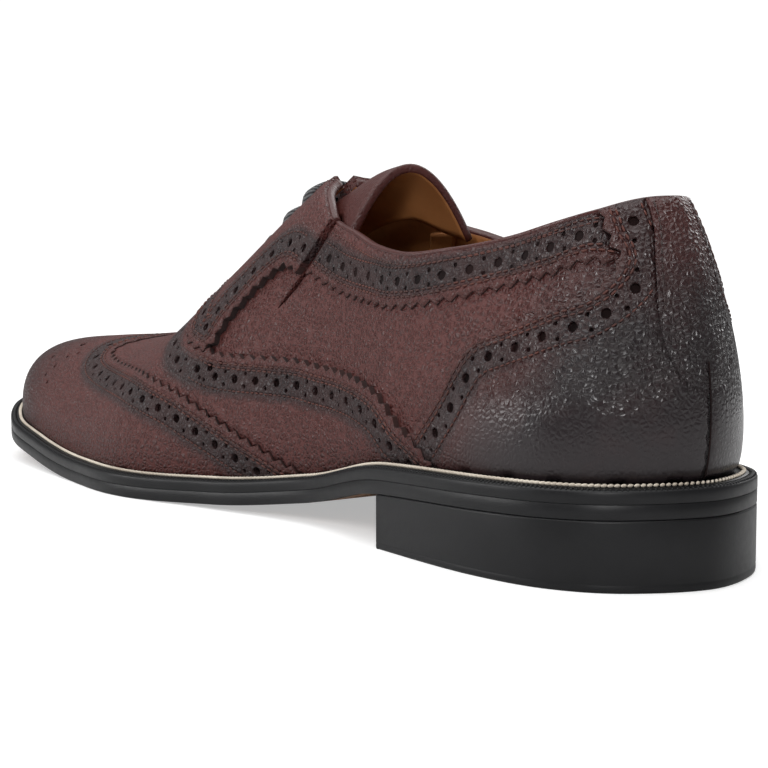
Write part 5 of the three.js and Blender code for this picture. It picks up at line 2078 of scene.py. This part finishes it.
@dataclass
class TongueAndLaces:
    """Padded tongue, elastic gores in the slits and the laces across the throat."""

    pattern: Pattern
    finishes: Finishes
    tongue_rows: Table = field(default_factory=lambda: table(
        "share top half drop skew",
        (0.357, 90.6, 16.5, 19, 4.5),
        (0.378, 89.6, 14, 15.5, 3.5),
        (0.4, 87.8, 11, 10.5, 2),
        (0.43, 84.5, 9.2, 8.5, 1),
        (0.46, 81, 9.5, 8, 0),
        (0.49, 75.3, 10.5, 8, 0),
        (0.525, 68, 11.5, 7, 0),
        (0.56, 60.8, 12.5, 6, 0),
        (0.6, 52.4, 12, 4.5, 0),
    ))
    tongue_thickness: float = 2.2
    rim_roll: float = 0.9
    lace_rows: int = 6
    first_lace: float = 0.474
    lace_pitch: float = 0.0325
    lace_width: float = 5.6
    lace_height: float = 2.5
    lace_reach: float = 9.0
    run_width: float = 3.6
    run_height: float = 1.4
    gore_margin: float = 4.0
    gore_drop: float = 1.5
    gore_overrun: float = 3.0
    gore_top: float = -3.4
    gore_thickness: float = 1.1

    def build(self) -> list[bpy.types.Object]:
        """Build the pieces."""
        return [self.tongue(), *[self.gore(side) for side in Side], self.laces()]

    def tongue(self) -> bpy.types.Object:
        """The tongue, leather outside and tan lining below, with a rolled top edge."""
        rows = self.tongue_rows
        names = ("top", "half", "drop", "skew")
        curves = {name: monotone(rows, "share", name) for name in names}
        shares = np.linspace(rows["share"][0], rows["share"][-1], 60)
        a = np.linspace(-1, 1, 33)
        top, half, drop, skew = (curves[name](shares)[:, None] for name in names)
        x = shares[:, None] * self.pattern.skin.last.length + skew * a
        grid = np.stack([x, half * a, top - drop * a**2], axis=-1)
        normals = unit(np.cross(np.gradient(grid, axis=0), np.gradient(grid, axis=1)))
        inner = grid - normals * self.tongue_thickness
        points = np.vstack([grid.reshape(-1, 3), inner.reshape(-1, 3)])
        front, walls, back = slab_faces(len(shares), len(a))
        faces = [*map(tuple, front), *map(tuple, walls), *map(tuple, back)]
        slots = [0] * len(front) + [1] * len(walls) + [2] * len(back)
        middle = (grid - normals * self.tongue_thickness / 2)[0]
        roll = tube(middle, normals[0], self.rim_roll, self.tongue_thickness + 0.15, 10)
        everything, all_faces = joined([(points, faces), roll])
        everything = self.pattern.skin.last.place(everything)
        slots += [1] * len(roll[1])
        tones = {name: np.zeros(len(everything)) for name in ("burnish", "low")}
        tones["seam"] = np.full(len(everything), FAR)
        tones["smooth"] = np.full(len(everything), 0.7)
        tones["polish"] = np.zeros(len(everything))
        materials = [self.finishes.leather, self.finishes.leather, self.finishes.lining]
        piece = MeshMaker.make("lined_tongue", everything, all_faces, materials, slots, tones)
        return settle(piece, "leather", "tongue")

    def gore(self, side: Side) -> bpy.types.Object:
        """Ribbed elastic behind one slit."""
        slit_heights = self.pattern.slit["height"]
        heights = np.linspace(slit_heights[1] - self.gore_drop, slit_heights[-1] - self.gore_overrun, 26)
        middle = self.pattern.slit_at("share", heights)
        half = self.pattern.slit_at("width", heights) / 2 + self.gore_margin
        a = np.linspace(-1, 1, 13)
        share = middle[:, None] + half[:, None] * a / self.pattern.skin.last.length
        outline = np.stack([share.ravel(), np.repeat(heights, len(a))], axis=1)
        surface, normals = self.pattern.skin.at(self.pattern.skin.lay(Chart.PROFILE, side, outline))
        outer = surface + normals * self.gore_top
        inner = surface + normals * (self.gore_top - self.gore_thickness)
        front, walls, back = slab_faces(len(heights), len(a))
        corner, along_edge, across_edge = outer[front[0, :3]]
        facing = np.cross(along_edge - corner, across_edge - corner)
        faces = np.vstack([front, walls, back])
        if facing @ normals[0] < 0:
            faces = faces[:, ::-1]
        along = np.tile((outline[:, 0] - middle[0]) * self.pattern.skin.last.length * MM, 2)
        masks = {"along": along, "around": np.zeros(len(along))}
        name = side.name.lower()
        slots = [0] * len(front) + [1] * (len(faces) - len(front))
        materials = [self.finishes.elastic, self.finishes.lining]
        points = np.vstack([outer, inner])
        piece = MeshMaker.make(f"elastic_gore_{name}", points, faces, materials, slots, masks)
        return settle(piece, "elastic", f"gore_{name}")

    def laces(self) -> bpy.types.Object:
        """Six straight bars with the hidden runs between them."""
        meshes, along, around = [], [], []
        across = np.linspace(-self.lace_reach - 0.8, self.lace_reach + 0.8, 27)
        dive = 2.6 * smoothstep(self.lace_reach - 3.2, self.lace_reach + 0.8, np.abs(across))
        rows = [self.first_lace + k * self.lace_pitch for k in range(self.lace_rows)]
        for share in rows:
            outline = np.stack([np.full(len(across), share), across], axis=1)
            self.add_tube(meshes, along, around, outline, 1.35 - dive, self.lace_width, self.lace_height)
        for low, high in zip(rows, rows[1:]):
            y = np.linspace(-self.lace_reach + 2, self.lace_reach - 2, 21)
            outline = np.stack([np.linspace(low, high, 21), y], axis=1)
            self.add_tube(meshes, along, around, outline, np.full(21, -0.9), self.run_width, self.run_height)
        points, faces = joined(meshes)
        masks = {"along": np.concatenate(along) * MM, "around": np.concatenate(around)}
        piece = MeshMaker.make("braided_laces", points, faces, [self.finishes.lace], None, masks)
        return settle(piece, "lace", "laces")

    def add_tube(
        self, meshes: list, along: list, around: list, outline: Array, lift: Array, wide: float, high: float
    ) -> None:
        """Add an oval tube over the throat, with the numbers its braid follows."""
        points, normals = self.pattern.skin.at(self.pattern.skin.lay(Chart.PLAN, Side.MEDIAL, outline))
        path = points + normals * lift[:, None]
        smooth_normals = unit(np.array([0, 0, 0.6]) + normals)
        corners = 12
        meshes.append(tube(path, smooth_normals, wide, high, corners))
        run = run_lengths(path)
        along.append(np.repeat(np.concatenate([run[:1], run, run[-1:]]), corners))
        turn = np.abs(np.arange(corners) / corners * 2 * math.pi - math.pi / 2)
        turn = np.minimum(turn, 2 * math.pi - turn)
        around.append(np.tile(turn, len(run) + 2))


@dataclass
class Studio:
    """Pale floor, soft lights and the camera at the photograph's angle."""

    lens: float = 83.75
    eye: tuple[float, float, float] = (-413.5, 270.2, 77.7)
    target: tuple[float, float, float] = (-28.3, 0.3, 33.2)
    floor_reach: float = 0.75
    floor_grey: float = 0.7
    floor_glow: float = 0.42
    world_light: float = 0.22
    world_seen: float = 1.1

    def build(self) -> None:
        """Build the studio."""
        self.floor()
        self.world()
        self.light("Top softbox", (0.1, 0.1, 1.2), (0, 0, 0), 1.7, 19.0)
        self.light("Key softbox", (-0.8, 0.75, 0.6), (-0.02, 0, 0.04), 0.3, 5.2)
        self.light("Side softbox", (0.7, 0.95, 0.4), (0, 0, 0.04), 0.45, 4.4)
        self.light("Back softbox", (0.3, -0.9, 0.6), (0, 0, 0.03), 0.6, 3.6)
        self.camera()
        view = bpy.context.scene.view_settings
        view.view_transform = "Standard"

    def floor(self) -> None:
        """A wide white floor."""
        reach = self.floor_reach
        corners = [(-reach, -reach, 0), (reach, -reach, 0), (reach, reach, 0), (-reach, reach, 0)]
        mesh = bpy.data.meshes.new("Floor")
        mesh.from_pydata(corners, [], [(0, 1, 2, 3)])
        material, nodes, shader = new_material("White floor")
        shader.inputs["Base Color"].default_value = (*[self.floor_grey] * 3, 1)
        shader.inputs["Roughness"].default_value = 0.6
        shader.inputs["Specular IOR Level"].default_value = 0.0
        shader.inputs["Emission Color"].default_value = (1, 1, 1, 1)
        seen = nodes.add("ShaderNodeLightPath").outputs["Is Camera Ray"]
        glow = nodes.math("MULTIPLY", seen, self.floor_glow)
        nodes.tree.links.new(glow, shader.inputs["Emission Strength"])
        mesh.materials.append(material)
        floor = bpy.data.objects.new("Floor", mesh)
        bpy.context.scene.collection.objects.link(floor)

    def world(self) -> None:
        """White surroundings, brighter to the eye than as light."""
        world = bpy.data.worlds.new("White surroundings")
        world.use_nodes = True
        nodes = Nodes(world.node_tree)
        background = world.node_tree.nodes["Background"]
        seen = nodes.add("ShaderNodeLightPath").outputs["Is Camera Ray"]
        strength = nodes.ramp(seen, 0.0, 1.0, self.world_light, self.world_seen)
        nodes.tree.links.new(strength, background.inputs["Strength"])
        background.inputs["Color"].default_value = (1, 1, 1, 1)
        bpy.context.scene.world = world

    def light(
        self, name: str, place: Sequence[float], target: Sequence[float], size: float, watts: float
    ) -> None:
        """Hang a square softbox.

        Args:
            name: Name of the light.
            place: Its middle, in metres.
            target: Where it points.
            size: Length of its side.
            watts: Its power.
        """
        data = bpy.data.lights.new(name, "AREA")
        data.size = size
        data.energy = watts
        lamp = bpy.data.objects.new(name, data)
        lamp.location = place
        lamp.rotation_euler = (Vector(target) - Vector(place)).to_track_quat("-Z", "Y").to_euler()
        bpy.context.scene.collection.objects.link(lamp)

    def camera(self) -> None:
        """Set the camera."""
        data = bpy.data.cameras.new("Camera")
        data.lens = self.lens
        data.sensor_width = 36.0
        data.clip_start = 0.01
        camera = bpy.data.objects.new("Camera", data)
        camera.location = Vector(self.eye) * MM
        direction = Vector(self.target) - Vector(self.eye)
        camera.rotation_euler = direction.to_track_quat("-Z", "Y").to_euler()
        bpy.context.scene.collection.objects.link(camera)
        bpy.context.scene.camera = camera


CREASES = (
    Crease((-147, -10, 55), (-147, 10, 57), 0.3, 1.6),
    Crease((-147, -8, 61), (-147, 9, 62), 0.22, 1.5),
    Crease((-146, -9, 50), (-146, 9, 51), 0.3, 1.3),
    Crease((-30, 40, 22), (4, 44, 30), 0.4, 3.0),
    Crease((-24, 36, 34), (0, 34, 44), 0.35, 3.0),
    Crease((-30, -42, 22), (4, -48, 28), 0.4, 3.0),
    Crease((34, 18, 45), (44, 40, 24), 0.4, 3.5),
    Crease((36, -20, 45), (46, -46, 24), 0.4, 3.5),
    Crease((52, 14, 40), (58, 36, 24), 0.3, 3.0),
)


def main() -> None:
    """Build the shoe and its studio."""
    logging.basicConfig(level=logging.INFO, format="%(name)s: %(message)s")
    seam = PunchedSeam()
    finishes = Finishes(seam)
    row = BeadRow()
    last = LastForm()
    pattern = Pattern(Skin(last, CREASES), seam)
    log.info("pattern laid out: %d punches", len(pattern.punches))
    Upper(pattern, finishes, row).build()
    SoleUnit(last, finishes, row).build()
    TongueAndLaces(pattern, finishes).build()
    Studio().build()


if __name__ == "__main__":
    main()
